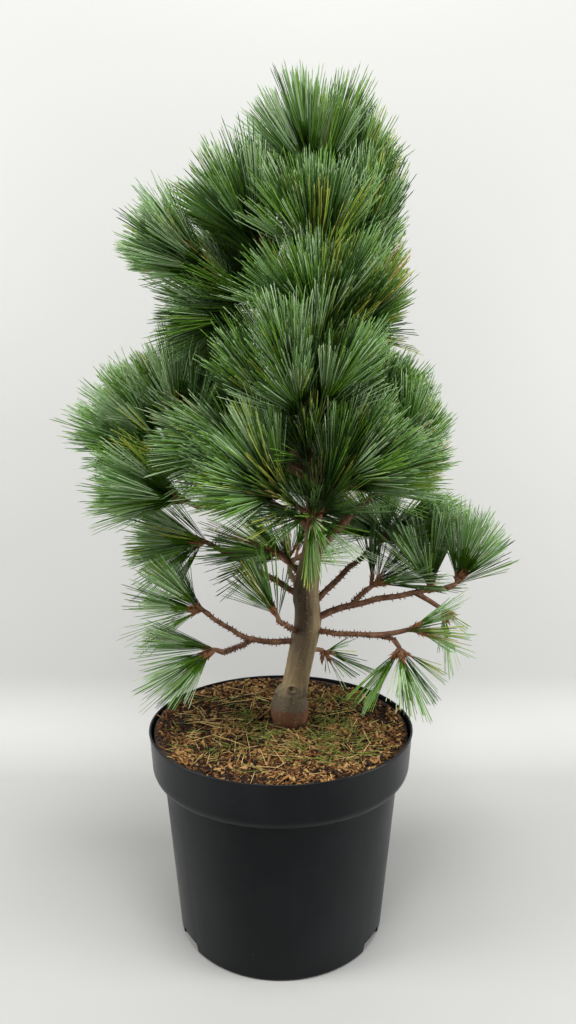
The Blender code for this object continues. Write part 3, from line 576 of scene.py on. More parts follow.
@dataclass
class Growth:
    """The seeded rule by which limbs, twigs and needles grow."""

    stations: int = 5
    upturn: float = 0.12
    whorl_start: float = 0.02
    whorl_step: float = 0.10
    first_seed: int = 100
    first_share: float = 0.9
    bare_share: float = 0.25
    wide_angle: float = math.radians(24)
    narrow_angle: float = math.radians(5)
    droop: float = 0.035
    lines: dict[str, np.ndarray] = field(default_factory=dict)

    def __post_init__(self) -> None:
        """Work out the trunk's and the boughs' stations, in rows of x, y, z and radius."""
        self.lines["trunk"] = self.smooth([(x, y, z, dia / 2) for z, x, y, dia in TRUNK_KNOTS], 1)
        for bough in BOUGHS:
            carrier = self.lines[bough.carrier]
            if bough.carrier == "trunk":
                start = self.at_height(bough.foot)
            else:
                start = self.at_share(carrier, bough.foot)
            self.lines[bough.name] = self.bowed(start, bough, self.stations)

    @staticmethod
    def smooth(knots: Sequence[Sequence[float]], steps: int) -> np.ndarray:
        """Return points on a Catmull-Rom curve through the knots, `steps` spans between two."""
        rows = np.array(knots, dtype=float)
        rows = np.vstack((2 * rows[0] - rows[1], rows, 2 * rows[-1] - rows[-2]))
        points = []
        for before, start, end, after in zip(rows, rows[1:], rows[2:], rows[3:]):
            for share in np.arange(steps) / steps:
                points.append(0.5 * (2 * start + (end - before) * share
                                     + (2 * before - 5 * start + 4 * end - after) * share ** 2
                                     + (3 * start - before - 3 * end + after) * share ** 3))
        points.append(rows[-2])
        return np.array(points)

    @staticmethod
    def bowed(start: np.ndarray, bough: Bough, stations: int) -> np.ndarray:
        """Return a bough's stations, its middle lifted by its bow."""
        share = np.linspace(0, 1, stations)[:, None]
        places = start * (1 - share) + np.array(bough.tip) * share + UP * bough.bow * 4 * share * (1 - share)
        return np.hstack((places, (bough.foot_dia + (bough.tip_dia - bough.foot_dia) * share) / 2))

    @staticmethod
    def at_share(line: np.ndarray, share: float) -> np.ndarray:
        """Return the point at a share of a line's stations."""
        place = share * (len(line) - 1)
        return np.array([np.interp(place, range(len(line)), line[:, axis]) for axis in range(3)])

    def at_height(self, height: float) -> np.ndarray:
        """Return the trunk's point at a height."""
        trunk = self.lines["trunk"]
        return np.array([np.interp(height, trunk[:, 2], trunk[:, axis]) for axis in range(3)])

    def twigs(self, mass: Mass, number: int) -> tuple[tuple[np.ndarray, np.ndarray], list]:
        """Return a mass's stem and its twigs, each as a start and an end point."""
        seed = self.first_seed + number
        draw = np.random.default_rng(seed)
        if mass.carrier == "trunk":
            start = self.at_height(mass.foot)
        elif mass.foot and mass.carrier != "trunk_tip":
            start = self.at_share(self.lines[mass.carrier], mass.foot)
        else:
            carrier = self.lines["trunk" if mass.carrier == "trunk_tip" else mass.carrier]
            start = carrier[-1, :3] + GAP * unit(carrier[-1, :3] - carrier[-2, :3])
        hub = start + mass.reach * direction(mass.bearing, 0) + mass.rise * UP
        ahead = direction(mass.heading, mass.lift)
        across = unit(np.cross(ahead, UP))
        above = np.cross(across, ahead)
        twigs = [(hub, hub + ahead * mass.length)]
        for index in range(mass.sides):
            turn = 2 * math.pi * (index + 0.25 * (seed % 4)) / mass.sides + draw.normal(0, 0.15)
            splay = math.radians(mass.splay * draw.uniform(0.85, 1.15))
            aside = math.cos(turn) * across + math.sin(turn) * above
            along = unit(math.cos(splay) * ahead + math.sin(splay) * aside + self.upturn * UP)
            foot = hub + ahead * mass.length * (self.whorl_start + self.whorl_step * index)
            twigs.append((foot, foot + along * mass.length * draw.uniform(0.72, 0.95)))
        return (start, hub), twigs

    def bundles(self, twig: tuple[np.ndarray, np.ndarray], needle: float, count: int,
                draw: np.random.Generator) -> tuple[np.ndarray, np.ndarray, np.ndarray]:
        """Return the roots, directions and lengths of the bundles in a twig's brush."""
        start, end = twig
        ahead = unit(end - start)
        across = unit(np.cross(ahead, UP + 0.01 * np.array((1.0, 0.4, 0.0))))
        above = np.cross(across, ahead)
        index = np.arange(count)
        share = (self.first_share + GOLDEN_STEP * index) % 1.0
        angle = (self.wide_angle + (self.narrow_angle - self.wide_angle) * share ** 0.7
                 + draw.normal(0, 0.08, count) + (draw.random(count) < 0.10) * draw.normal(0.10, 0.30, count))
        turn = GOLDEN_TURN * index + draw.uniform(0, 2 * math.pi) + draw.normal(0, 0.15, count)
        aside = np.cos(turn)[:, None] * across + np.sin(turn)[:, None] * above
        along = unit(np.cos(angle)[:, None] * ahead + np.sin(angle)[:, None] * aside - self.droop * UP)
        root = start + (end - start) * (self.bare_share + (1 - self.bare_share) * share)[:, None]
        return root, along, needle * draw.triangular(0.66, 1.10, 1.22, count)


# Small shapes made from arrays


def ring_frames(ahead: np.ndarray) -> tuple[np.ndarray, np.ndarray]:
    """Return two unit vectors square to each of many directions and to each other."""
    helper = np.where(np.abs(ahead[:, 2:3]) < 0.9, UP, np.array((1.0, 0.0, 0.0)))
    across = unit(np.cross(ahead, helper))
    return across, np.cross(across, ahead)


def tubes(starts: np.ndarray, ends: np.ndarray, radii: np.ndarray, end_radii: np.ndarray,
          bends: np.ndarray, sides: int, stations: int) -> tuple[np.ndarray, np.ndarray]:
    """Return the vertices and triangles of many bent, closed, tapering tubes.

    Args:
        starts: each tube's foot.
        ends: each tube's tip.
        radii: each tube's radius at its foot.
        end_radii: each tube's radius at its tip.
        bends: how far each tube's middle stands off its chord.
        sides: the corners of a ring.
        stations: the rings of a tube.

    Returns:
        The places and the corners of the triangles.
    """
    count = len(starts)
    across, above = ring_frames(unit(ends - starts))
    turn = 2 * np.pi * np.arange(sides) / sides
    rings = []
    for share in np.linspace(0, 1, stations):
        middle = starts + (ends - starts) * share + bends * 4 * share * (1 - share)
        radius = radii + (end_radii - radii) * share
        ring = (middle[:, None, :] + radius[:, None, None]
                * (np.cos(turn)[None, :, None] * across[:, None, :]
                   + np.sin(turn)[None, :, None] * above[:, None, :]))
        rings.append(ring)
    caps = np.stack((starts, ends), axis=1)
    places = np.concatenate([np.stack(rings, axis=1).reshape(count, -1, 3), caps], axis=1)
    low = np.arange(sides)
    high = (low + 1) % sides
    corners = []
    for level in range(stations - 1):
        a, b = low + level * sides, high + level * sides
        c, d = b + sides, a + sides
        corners += [np.stack((a, b, c), 1), np.stack((a, c, d), 1)]
    foot, tip, last = stations * sides, stations * sides + 1, (stations - 1) * sides
    corners.append(np.stack((high, low, np.full(sides, foot)), 1))
    corners.append(np.stack((low + last, high + last, np.full(sides, tip)), 1))
    faces = np.concatenate(corners)[None] + (np.arange(count) * (stations * sides + 2))[:, None, None]
    return places.reshape(-1, 3), faces.reshape(-1, 3)


@dataclass
class NeedleShape:
    """A slim three-sided needle that bends away from its root's direction."""

    radius: float = 0.00049
    shares: tuple[float, float] = (0.40, 0.955)
    inner_share: float = 0.36
    sides: int = 3

    def mesh(self, name: str, roots: np.ndarray, ahead: np.ndarray, lengths: np.ndarray,
             bends: np.ndarray, draw: np.random.Generator) -> bpy.types.Mesh:
        """Return one mesh of many needles, their inner thirds in slot 0 and the rest in slot 1."""
        count = len(roots)
        across, above = ring_frames(ahead)
        turn = draw.uniform(0, 2 * np.pi, count)[:, None] + 2 * np.pi * np.arange(3)[None] / 3
        spokes = (np.cos(turn)[..., None] * across[:, None, :] + np.sin(turn)[..., None] * above[:, None, :])
        path = [roots + ahead * (lengths * share)[:, None] + bends * (lengths * share ** 2)[:, None]
                for share in (0.0, *self.shares, 1.0)]
        rings = [path[1][:, None, :] + self.radius * spokes, path[2][:, None, :] + 0.84 * self.radius * spokes]
        places = np.concatenate((path[0][:, None, :], *rings, path[3][:, None, :]), axis=1)
        faces, slots = [], []
        for side in range(3):
            a, b = 1 + side, 1 + (side + 1) % 3
            faces += [(0, b, a), (a, b, b + 3), (a, b + 3, a + 3), (a + 3, b + 3, 7)]
            slots += [0, 1, 1, 1]
        faces = np.array(faces)[None] + (8 * np.arange(count))[:, None, None]
        slots = np.tile(np.array(slots), count)
        return array_mesh(name, places.reshape(-1, 3), faces.reshape(-1, 3), slots)


# The pot


@dataclass
class NurseryPot:
    """A round pot: a tapered body under a tall collar, with drain notches in its foot."""

    rim_radius: float = 0.140
    height: float = 0.222
    collar_taper: float = 0.0030
    collar_bend: float = 0.186
    collar_foot: float = 0.172
    body_radius: float = 0.1256
    base_radius: float = 0.110
    wall: float = 0.0020
    floor: float = 0.0030
    lip: float = 0.0009
    lip_bead: float = 0.0016
    base_round: float = 0.0030
    groove: float = 0.0007
    arc_steps: int = 12
    sides: int = 144
    notch_bearings: tuple[int, ...] = (90, 210, 330)
    notch_width: float = 0.044
    notch_height: float = 0.010
    notch_reach: float = 0.016
    notch_slope: float = 0.006

    def collar(self, inset: float, steps: int) -> list[tuple[float, float]]:
        """Return the points of the collar's underside, an inset within the wall, from its foot to its bend."""
        reach = self.rim_radius - self.collar_taper - self.body_radius
        rise = self.collar_bend - self.collar_foot - inset
        turns = [math.pi / 2 * index / steps for index in range(steps + 1)]
        return [(self.body_radius - inset + reach * math.sin(turn), self.collar_bend - rise * math.cos(turn))
                for turn in turns]

    def profile(self) -> list[tuple[float, float]]:
        """Return the pot's section from the middle of its underside to the middle of its floor."""
        outer = [(0.0, 0.0), (self.base_radius - self.base_round, 0.0)]
        for index in range(1, 5):
            turn = math.pi / 2 * index / 4
            outer.append((self.base_radius - self.base_round * (1 - math.sin(turn)),
                          self.base_round * (1 - math.cos(turn))))
        outer.append((self.body_radius - self.groove, self.collar_foot - 2.5 * self.groove))
        outer.append((self.body_radius - self.groove, self.collar_foot - self.groove))
        outer += self.collar(0.0, self.arc_steps)
        bead_foot = self.height - 3 * self.lip_bead
        outer.append((self.rim_radius - self.lip, bead_foot))
        for index in range(5):
            turn = math.pi / 2 * index / 4
            outer.append((self.rim_radius - self.lip * (1 - math.cos(turn)),
                          self.height - self.lip * (1 - math.sin(turn))))
        inner = [(self.rim_radius - self.wall, self.height - self.lip / 2)]
        inner += reversed(self.collar(self.wall, self.arc_steps))
        inner += [(self.base_radius - self.wall, self.floor), (0.0, self.floor)]
        return outer + inner

    def build(self) -> bpy.types.Object:
        """Turn the pot, cut its notches and dress it."""
        bm = bmesh.new()
        verts = [bm.verts.new((radius, 0.0, height)) for radius, height in self.profile()]
        edges = [bm.edges.new(pair) for pair in zip(verts, verts[1:])]
        bmesh.ops.spin(bm, geom=verts + edges, cent=(0, 0, 0), axis=(0, 0, 1), angle=2 * math.pi,
                       steps=self.sides, use_merge=True)
        bmesh.ops.remove_doubles(bm, verts=bm.verts, dist=1e-5)
        pot = put("nursery_pot", mesh_of("nursery_pot", bm), [MouldedPlastic().material()])
        for bearing in self.notch_bearings:
            self.cut_notch(pot, bearing)
        pot.data.shade_smooth()
        pot.data.set_sharp_from_angle(angle=math.radians(38))
        return settle(pot, "pot_plastic", "pot")

    def cut_notch(self, pot: bpy.types.Object, bearing: float) -> None:
        """Cut one drain notch with sloped ends out of the pot's foot."""
        bm = bmesh.new()
        bmesh.ops.create_cube(bm, size=1.0)
        bmesh.ops.scale(bm, vec=(self.notch_reach, self.notch_width, 2 * self.notch_height), verts=bm.verts)
        for vert in bm.verts:
            if vert.co.z > 0:
                vert.co.y -= math.copysign(self.notch_slope, vert.co.y)
        place = Matrix.Rotation(math.radians(bearing), 4, "Z") @ Matrix.Translation((self.base_radius, 0, 0))
        bmesh.ops.transform(bm, matrix=place, verts=bm.verts)
        cutter = put("notch_cutter", mesh_of("notch_cutter", bm, smooth=False), [])
        modifier = pot.modifiers.new("notch", "BOOLEAN")
        modifier.operation = "DIFFERENCE"
        modifier.object = cutter
        graph = bpy.context.evaluated_depsgraph_get()
        cut = bpy.data.meshes.new_from_object(pot.evaluated_get(graph))
        pot.modifiers.clear()
        pot.data = cut
        bpy.data.objects.remove(cutter, do_unlink=True)


# The growing medium


@dataclass
class GrowingMedium:
    """Crowned earth with bark chips, moss strands and fallen needles on it."""

    pot: NurseryPot
    edge: float = 0.2186
    crown: float = 0.2160
    crown_share: float = 0.65
    relief: float = 0.0032
    rings: int = 44
    sides: int = 132
    chips: int = 11500
    tufts: int = 9
    tuft_strands: int = 14
    clumps: tuple[tuple[float, float], ...] = (
        (0.052, 0.020), (0.060, 0.012), (0.038, -0.034), (0.046, -0.020), (0.070, 0.052), (0.086, 0.066),
        (0.080, 0.000), (-0.030, 0.014), (-0.024, -0.030), (-0.052, -0.052), (0.020, -0.062), (0.074, -0.062))
    clump_strands: int = 22
    loose_strands: int = 170
    straws: int = 430
    chip_slots: tuple[Plain, ...] = (
        Plain("chip_tan", (0.225, 0.120, 0.040), 0.9),
        Plain("chip_brown", (0.098, 0.038, 0.010), 0.9),
        Plain("chip_dark", (0.013, 0.006, 0.003), 0.9),
        Plain("chip_straw", (0.310, 0.195, 0.075), 0.85),
    )
    chip_shares: tuple[float, ...] = (0.33, 0.33, 0.23, 0.11)
    hollow_shares: tuple[float, ...] = (0.08, 0.30, 0.61, 0.01)
    inset: float = 0.0023
    ledge_steps: int = 2
    trunk_foot: tuple[float, float] = (0.008, 0.010)
    foot_clear: float = 0.021

    def edge_radius(self) -> float:
        """Return the radius of the medium where it meets the pot's wall."""
        return self.pot.rim_radius - self.pot.collar_taper - self.inset

    def height(self, x: float, y: float) -> float:
        """Return the height of the medium's surface at a place."""
        radius = math.hypot(x, y) / self.edge_radius()
        slope = min(max((1 - radius) / (1 - self.crown_share), 0.0), 1.0)
        crowned = self.edge + (self.crown - self.edge) * slope
        tilt = 0.0030 * (0.8 * y - 0.4 * x) / self.edge_radius()
        lumps = noise.fractal(Vector((x * 38, y * 38, 0.4)), 1.0, 2.1, 4)
        grain = noise.noise(Vector((x * 330, y * 330, 3.1)))
        return crowned + tilt * min(radius, 1) + self.relief * lumps * 0.55 + self.relief * 0.22 * grain - 0.001

    def build(self) -> None:
        """Build the earth, the chips on it and the strands between them."""
        self.build_earth()
        self.build_chips()
        self.build_strands()

    def build_earth(self) -> bpy.types.Object:
        """Turn a closed body that fills the pot, with a rough top."""
        radius = self.edge_radius()
        pot = self.pot
        floor = pot.floor + GAP
        foot = pot.base_radius - pot.notch_reach / 2 - 2 * GAP
        section = [(radius * index / self.rings, self.edge) for index in range(self.rings + 1)]
        section += reversed(pot.collar(self.inset, self.ledge_steps))
        section += [(pot.base_radius - self.inset, pot.notch_height + GAP), (foot, pot.notch_height + GAP),
                    (foot, floor), (0.0, floor)]
        bm = bmesh.new()
        verts = [bm.verts.new((reach, 0.0, height)) for reach, height in section]
        edges = [bm.edges.new(pair) for pair in zip(verts, verts[1:])]
        bmesh.ops.spin(bm, geom=verts + edges, cent=(0, 0, 0), axis=(0, 0, 1), angle=2 * math.pi,
                       steps=self.sides, use_merge=True)
        bmesh.ops.remove_doubles(bm, verts=bm.verts, dist=1e-5)
        for vert in bm.verts:
            if vert.co.z > self.edge - 1e-4:
                vert.co.z = self.height(vert.co.x, vert.co.y)
        earth = put("potting_earth", mesh_of("potting_earth", bm), [PottingEarth().material()])
        return settle(earth, "growing_medium", "soil")

    def scatter(self, count: int, margin: float, draw: np.random.Generator) -> np.ndarray:
        """Return random places on the surface, clear of the wall and of the trunk's foot."""
        reach = self.edge_radius() - margin
        places = []
        while len(places) < count:
            x, y = draw.uniform(-reach, reach, 2)
            if math.hypot(x, y) < reach and math.dist((x, y), self.trunk_foot) > self.foot_clear:
                places.append((x, y, self.height(x, y)))
        return np.array(places)

    def build_chips(self) -> bpy.types.Object:
        """Strew flat, twisted bark chips in four plain tones."""
        draw = np.random.default_rng(31)
        count = self.chips
        places = self.scatter(count, 0.004, draw)
        lumps = np.array([noise.noise(Vector((x * 26, y * 26, 7.7))) for x, y, _ in places])
        hollow = lumps > 0.10 + 0.20 * (places[:, 0] - 0.6 * places[:, 1]) / self.edge_radius()
        places = places + UP * draw.uniform(-0.0006, 0.0026, (count, 1)) * np.where(hollow, 0.3, 1.0)[:, None]
        turn = draw.uniform(0, 2 * np.pi, count)
        tilt = draw.normal(0, 0.42, (count, 2))
        along = unit(np.stack((np.cos(turn), np.sin(turn), tilt[:, 0]), 1))
        side = unit(np.cross(UP, along) + UP * tilt[:, 1:])
        top = np.cross(along, side)
        half = np.stack((draw.gamma(2.0, 0.00125, count).clip(0.0008, 0.0090),
                         draw.uniform(0.0005, 0.0016, count), draw.uniform(0.0002, 0.0006, count)), 1)
        signs = np.array([(i, j, k) for i in (-1, 1) for j in (-1, 1) for k in (-1, 1)], float)
        taper = 1 + 0.35 * draw.uniform(-1, 1, (count, 8))
        corners = (places[:, None, :]
                   + (signs[None, :, 0:1] * half[:, None, 0:1]) * along[:, None, :]
                   + (signs[None, :, 1:2] * half[:, None, 1:2] * taper[..., None]) * side[:, None, :]
                   + (signs[None, :, 2:3] * half[:, None, 2:3]) * top[:, None, :])
        quads = np.array(((0, 1, 3, 2), (4, 6, 7, 5), (0, 4, 5, 1), (2, 3, 7, 6), (0, 2, 6, 4), (1, 5, 7, 3)))
        faces = quads[None] + (8 * np.arange(count))[:, None, None]
        tones = np.where(hollow, draw.choice(len(self.chip_slots), count, p=self.hollow_shares),
                         draw.choice(len(self.chip_slots), count, p=self.chip_shares))
        mesh = array_mesh("bark_chips", corners.reshape(-1, 3), faces.reshape(-1, 4),
                          np.repeat(tones, len(quads)), smooth=False)
        chips = put("bark_chips", mesh, [plain.material() for plain in self.chip_slots])
        return settle(chips, "growing_medium")

    def build_strands(self) -> None:
        """Lay tufts of green moss strands and fallen needles, and loose straws, on the surface."""
        draw = np.random.default_rng(41)
        clumps = np.array([(x, y, self.height(x, y)) for x, y in self.clumps])
        tufts = np.concatenate((np.repeat(self.scatter(self.tufts, 0.030, draw), self.tuft_strands, axis=0),
                                np.repeat(clumps, self.clump_strands, axis=0)))
        spots = np.concatenate((tufts + draw.normal(0, 0.0070, tufts.shape) * np.array((1, 1, 0)),
                                self.scatter(self.loose_strands, 0.020, draw)))
        lead = np.concatenate((np.repeat(draw.uniform(0, 2 * np.pi, self.tufts), self.tuft_strands),
                               np.repeat(draw.uniform(0, 2 * np.pi, len(clumps)), self.clump_strands)))
        turns = np.concatenate((lead + draw.normal(0, 0.80, len(lead)),
                                draw.uniform(0, 2 * np.pi, self.loose_strands)))
        self.lay("moss_strands", spots, turns, (0.012, 0.040), (0.00, 0.42),
                 ((0.058, 0.104, 0.010), (0.125, 0.165, 0.028)), draw)
        spots = self.scatter(self.straws, 0.024, draw)
        self.lay("straw_strands", spots, draw.uniform(0, 2 * np.pi, self.straws), (0.012, 0.062), (-0.02, 0.20),
                 ((0.290, 0.185, 0.060), (0.420, 0.300, 0.120)), draw)

    def lay(self, name: str, spots: np.ndarray, turns: np.ndarray, lengths: tuple[float, float],
            lifts: tuple[float, float], tones: tuple[Colour, Colour], draw: np.random.Generator) -> None:
        """Lay slim strands that start at spots, turn to bearings and stay within the pot's rim."""
        count = len(spots)
        longs = draw.triangular(lengths[0], lengths[0], lengths[1], count)
        ahead = unit(np.stack((np.cos(turns), np.sin(turns), draw.uniform(*lifts, count)), 1))
        ends = spots[:, :2] + ahead[:, :2] * longs[:, None]
        reach = self.edge_radius() - 0.004
        kept = (np.linalg.norm(ends, axis=1) < reach) & (np.linalg.norm(spots[:, :2], axis=1) < reach)
        kept &= np.linalg.norm(ends - np.array(self.trunk_foot), axis=1) > self.foot_clear
        bends = draw.normal(0, 0.14, (count, 3)) * np.array((1, 1, 0.15)) - UP * 0.10
        places = spots + UP * draw.uniform(0.0006, 0.0034, (count, 1))
        mesh = NeedleShape(radius=0.00040).mesh(name, places[kept], ahead[kept], longs[kept], bends[kept], draw)
        looks = [Plain(f"{name}_{part}", tone, 0.7).material() for part, tone in zip(("foot", "tip"), tones)]
        settle(put(name, mesh, looks), "growing_medium")


# The limbs


@dataclass
class Limbs:
    """The bark of the trunk and the boughs."""

    growth: Growth
    trunk_steps: int = 18
    trunk_sides: int = 96
    bough_sides: int = 12
    bough_stations: int = 34
    ridge: float = 0.00070
    collar_swell: float = 0.0022
    foot_swell: float = 0.0007
    knot_place: tuple[float, float, float] = (0.0117, -0.0045, 0.2590)
    peg_length: float = 0.0028
    peg_radius: float = 0.0008
    pegs_per_bough: int = 80
    bough_feet: list[tuple[np.ndarray, np.ndarray, float]] = field(default_factory=list)

    def build(self) -> None:
        """Build the trunk, the boughs and the pegs on them."""
        for bough in BOUGHS:
            if bough.carrier == "trunk":
                foot = self.growth.at_height(bough.foot)
                away = unit((np.array(bough.tip) - foot) * np.array((1, 1, 0.2)))
                self.bough_feet.append((foot, away, bough.foot_dia))
        for mass in MASSES:
            if mass.carrier == "trunk":
                foot = self.growth.at_height(mass.foot)
                self.bough_feet.append((foot, direction(mass.bearing, 20), 0.0068))
        self.build_trunk()
        self.build_boughs()
        self.build_pegs()

    def swell(self, place: np.ndarray, outward: np.ndarray) -> float:
        """Return how far the trunk's surface stands out at a place where limbs leave it."""
        total = 0.0
        for foot, away, diameter in self.bough_feet:
            near = (place[2] - foot[2] - 0.2 * diameter) / (0.9 * diameter)
            if abs(near) < 2.5:
                facing = max(float(np.dot(outward, away)), 0.0)
                total += diameter / 0.010 * math.exp(-near * near) * facing ** 6
        return self.collar_swell * min(total, 1.6)

    def sweep(self, line: np.ndarray, sides: int, relief: Any) -> bmesh.types.BMesh:
        """Return a bmesh tube along stations, its surface moved out by a relief function."""
        bm = bmesh.new()
        across = None
        last: list[bmesh.types.BMEdge] = []
        for index, station in enumerate(line):
            ahead = unit(line[min(index + 1, len(line) - 1), :3] - line[max(index - 1, 0), :3])
            if across is None:
                across = np.cross(ahead, UP) if abs(ahead[2]) < 0.9 else np.cross(ahead, (0.0, 1.0, 0.0))
            across = unit(across - ahead * np.dot(across, ahead))
            place = Matrix((across, np.cross(ahead, across), ahead)).transposed().to_4x4()
            place.translation = Vector(station[:3])
            ring = bmesh.ops.create_circle(bm, cap_ends=index in (0, len(line) - 1), segments=sides,
                                           radius=station[3], matrix=place)["verts"]
            for vert in ring:
                outward = unit(np.array(vert.co) - station[:3])
                vert.co += Vector(outward * relief(np.array(vert.co), outward, station[3]))
            edges = list({edge for vert in ring for edge in vert.link_edges})
            if last:
                bmesh.ops.bridge_loops(bm, edges=last + edges)
            last = edges
        return bm

    def trunk_relief(self, place: np.ndarray, outward: np.ndarray, radius: float) -> float:
        """Return the trunk's relief: long ridges, fine grain, collars under limbs and a lobed foot."""
        turn = math.atan2(outward[1], outward[0])
        around = Vector((math.cos(turn) * 2.6, math.sin(turn) * 2.6, place[2] * 26))
        fine = Vector((math.cos(turn) * 9, math.sin(turn) * 9, place[2] * 160))
        size = min(radius / 0.013, 1.2)
        ridges = self.ridge * size * noise.fractal(around, 0.9, 2.0, 5)
        grain = 0.00022 * size * noise.noise(fine)
        low = math.exp(-((place[2] - 0.214) / 0.020) ** 2)
        lobes = self.foot_swell * low * (math.cos(3 * turn + 0.7) + 0.5 * math.cos(5 * turn + 2.0))
        band = 0.0008 * math.exp(-((place[2] - 0.2515) / 0.0016) ** 2) * (1 + 0.4 * math.cos(2 * turn))
        gap = float(np.linalg.norm(place - np.array(self.knot_place)))
        knot = 0.0010 * math.exp(-((gap - 0.0042) / 0.0014) ** 2) - 0.0016 * math.exp(-(gap / 0.0022) ** 2)
        return ridges + grain + lobes + band + knot + self.swell(place, outward)

    def build_trunk(self) -> bpy.types.Object:
        """Sweep the trunk from below the surface of the growing medium to its tip."""
        knots = [(x, y, z, dia / 2) for z, x, y, dia in TRUNK_KNOTS]
        line = self.growth.smooth(knots, self.trunk_steps)
        bm = self.sweep(line, self.trunk_sides, self.trunk_relief)
        trunk = put("trunk_with_bark", mesh_of("trunk_with_bark", bm), [TrunkBark().material()])
        return settle(trunk, "trunk_bark", "trunk")

    def bough_line(self, bough: Bough) -> np.ndarray:
        """Return a bough's fine stations, with the small kinks of real wood between its ends."""
        coarse = self.growth.lines[bough.name]
        line = self.growth.bowed(coarse[0, :3], bough, self.bough_stations)
        share = np.linspace(0, 1, len(line))
        seed = 7.3 * BOUGHS.index(bough)
        for index, station in enumerate(line):
            hold = min(1.0, 5 * (1 - share[index])) * min(1.0, 6 * share[index])
            wander = noise.noise_vector(Vector((share[index] * 5.0, seed, 0.5)))
            station[:3] += 0.0026 * hold * np.array(wander)
        line[:, 3] *= 1 + 0.30 * np.exp(-(share / 0.10) ** 2)
        return line

    def bough_relief(self, place: np.ndarray, outward: np.ndarray, radius: float) -> float:
        """Return a bough's relief: knuckles and fine grain."""
        spot = Vector(place * 170.0)
        return radius * (0.16 * noise.noise(spot) + 0.10 * noise.noise(spot * 3.0))

    def build_boughs(self) -> bpy.types.Object:
        """Sweep every bough into one piece."""
        whole = bmesh.new()
        for bough in BOUGHS:
            bm = self.sweep(self.bough_line(bough), self.bough_sides, self.bough_relief)
            mesh = mesh_of(bough.name, bm)
            whole.from_mesh(mesh)
            bpy.data.meshes.remove(mesh)
        boughs = put("boughs_with_bark", mesh_of("boughs_with_bark", whole), [BoughBark().material()])
        return settle(boughs, "bough_bark", *(bough.name for bough in BOUGHS))

    def build_pegs(self) -> bpy.types.Object:
        """Set peg-like leaf bases on the boughs, turned by the golden angle."""
        draw = np.random.default_rng(17)
        feet, tips = [], []
        for bough in BOUGHS:
            line = self.bough_line(bough)
            for index in range(self.pegs_per_bough):
                place = (0.14 + 0.84 * (index + draw.uniform(0, 0.7)) / self.pegs_per_bough) * (len(line) - 1)
                middle = np.array([np.interp(place, range(len(line)), line[:, axis]) for axis in range(4)])
                step = int(min(place, len(line) - 2))
                ahead = unit(line[step + 1, :3] - line[step, :3])[None]
                across, above = ring_frames(ahead)
                turn = GOLDEN_TURN * index
                outward = math.cos(turn) * across[0] + math.sin(turn) * above[0]
                away = unit(outward + 0.7 * ahead[0])
                feet.append(middle[:3] + outward * middle[3] * 0.6)
                tips.append(middle[:3] + outward * middle[3] * 0.95
                            + away * self.peg_length * draw.uniform(0.5, 1.1))
        count = len(feet)
        places, corners = tubes(np.array(feet), np.array(tips), np.full(count, self.peg_radius),
                                np.full(count, 0.55 * self.peg_radius), np.zeros((count, 3)), 5, 2)
        pegs = put("bough_pegs", array_mesh("bough_pegs", places, corners), [BoughBark().material()])
        return settle(pegs, "bough_bark")


# The foliage


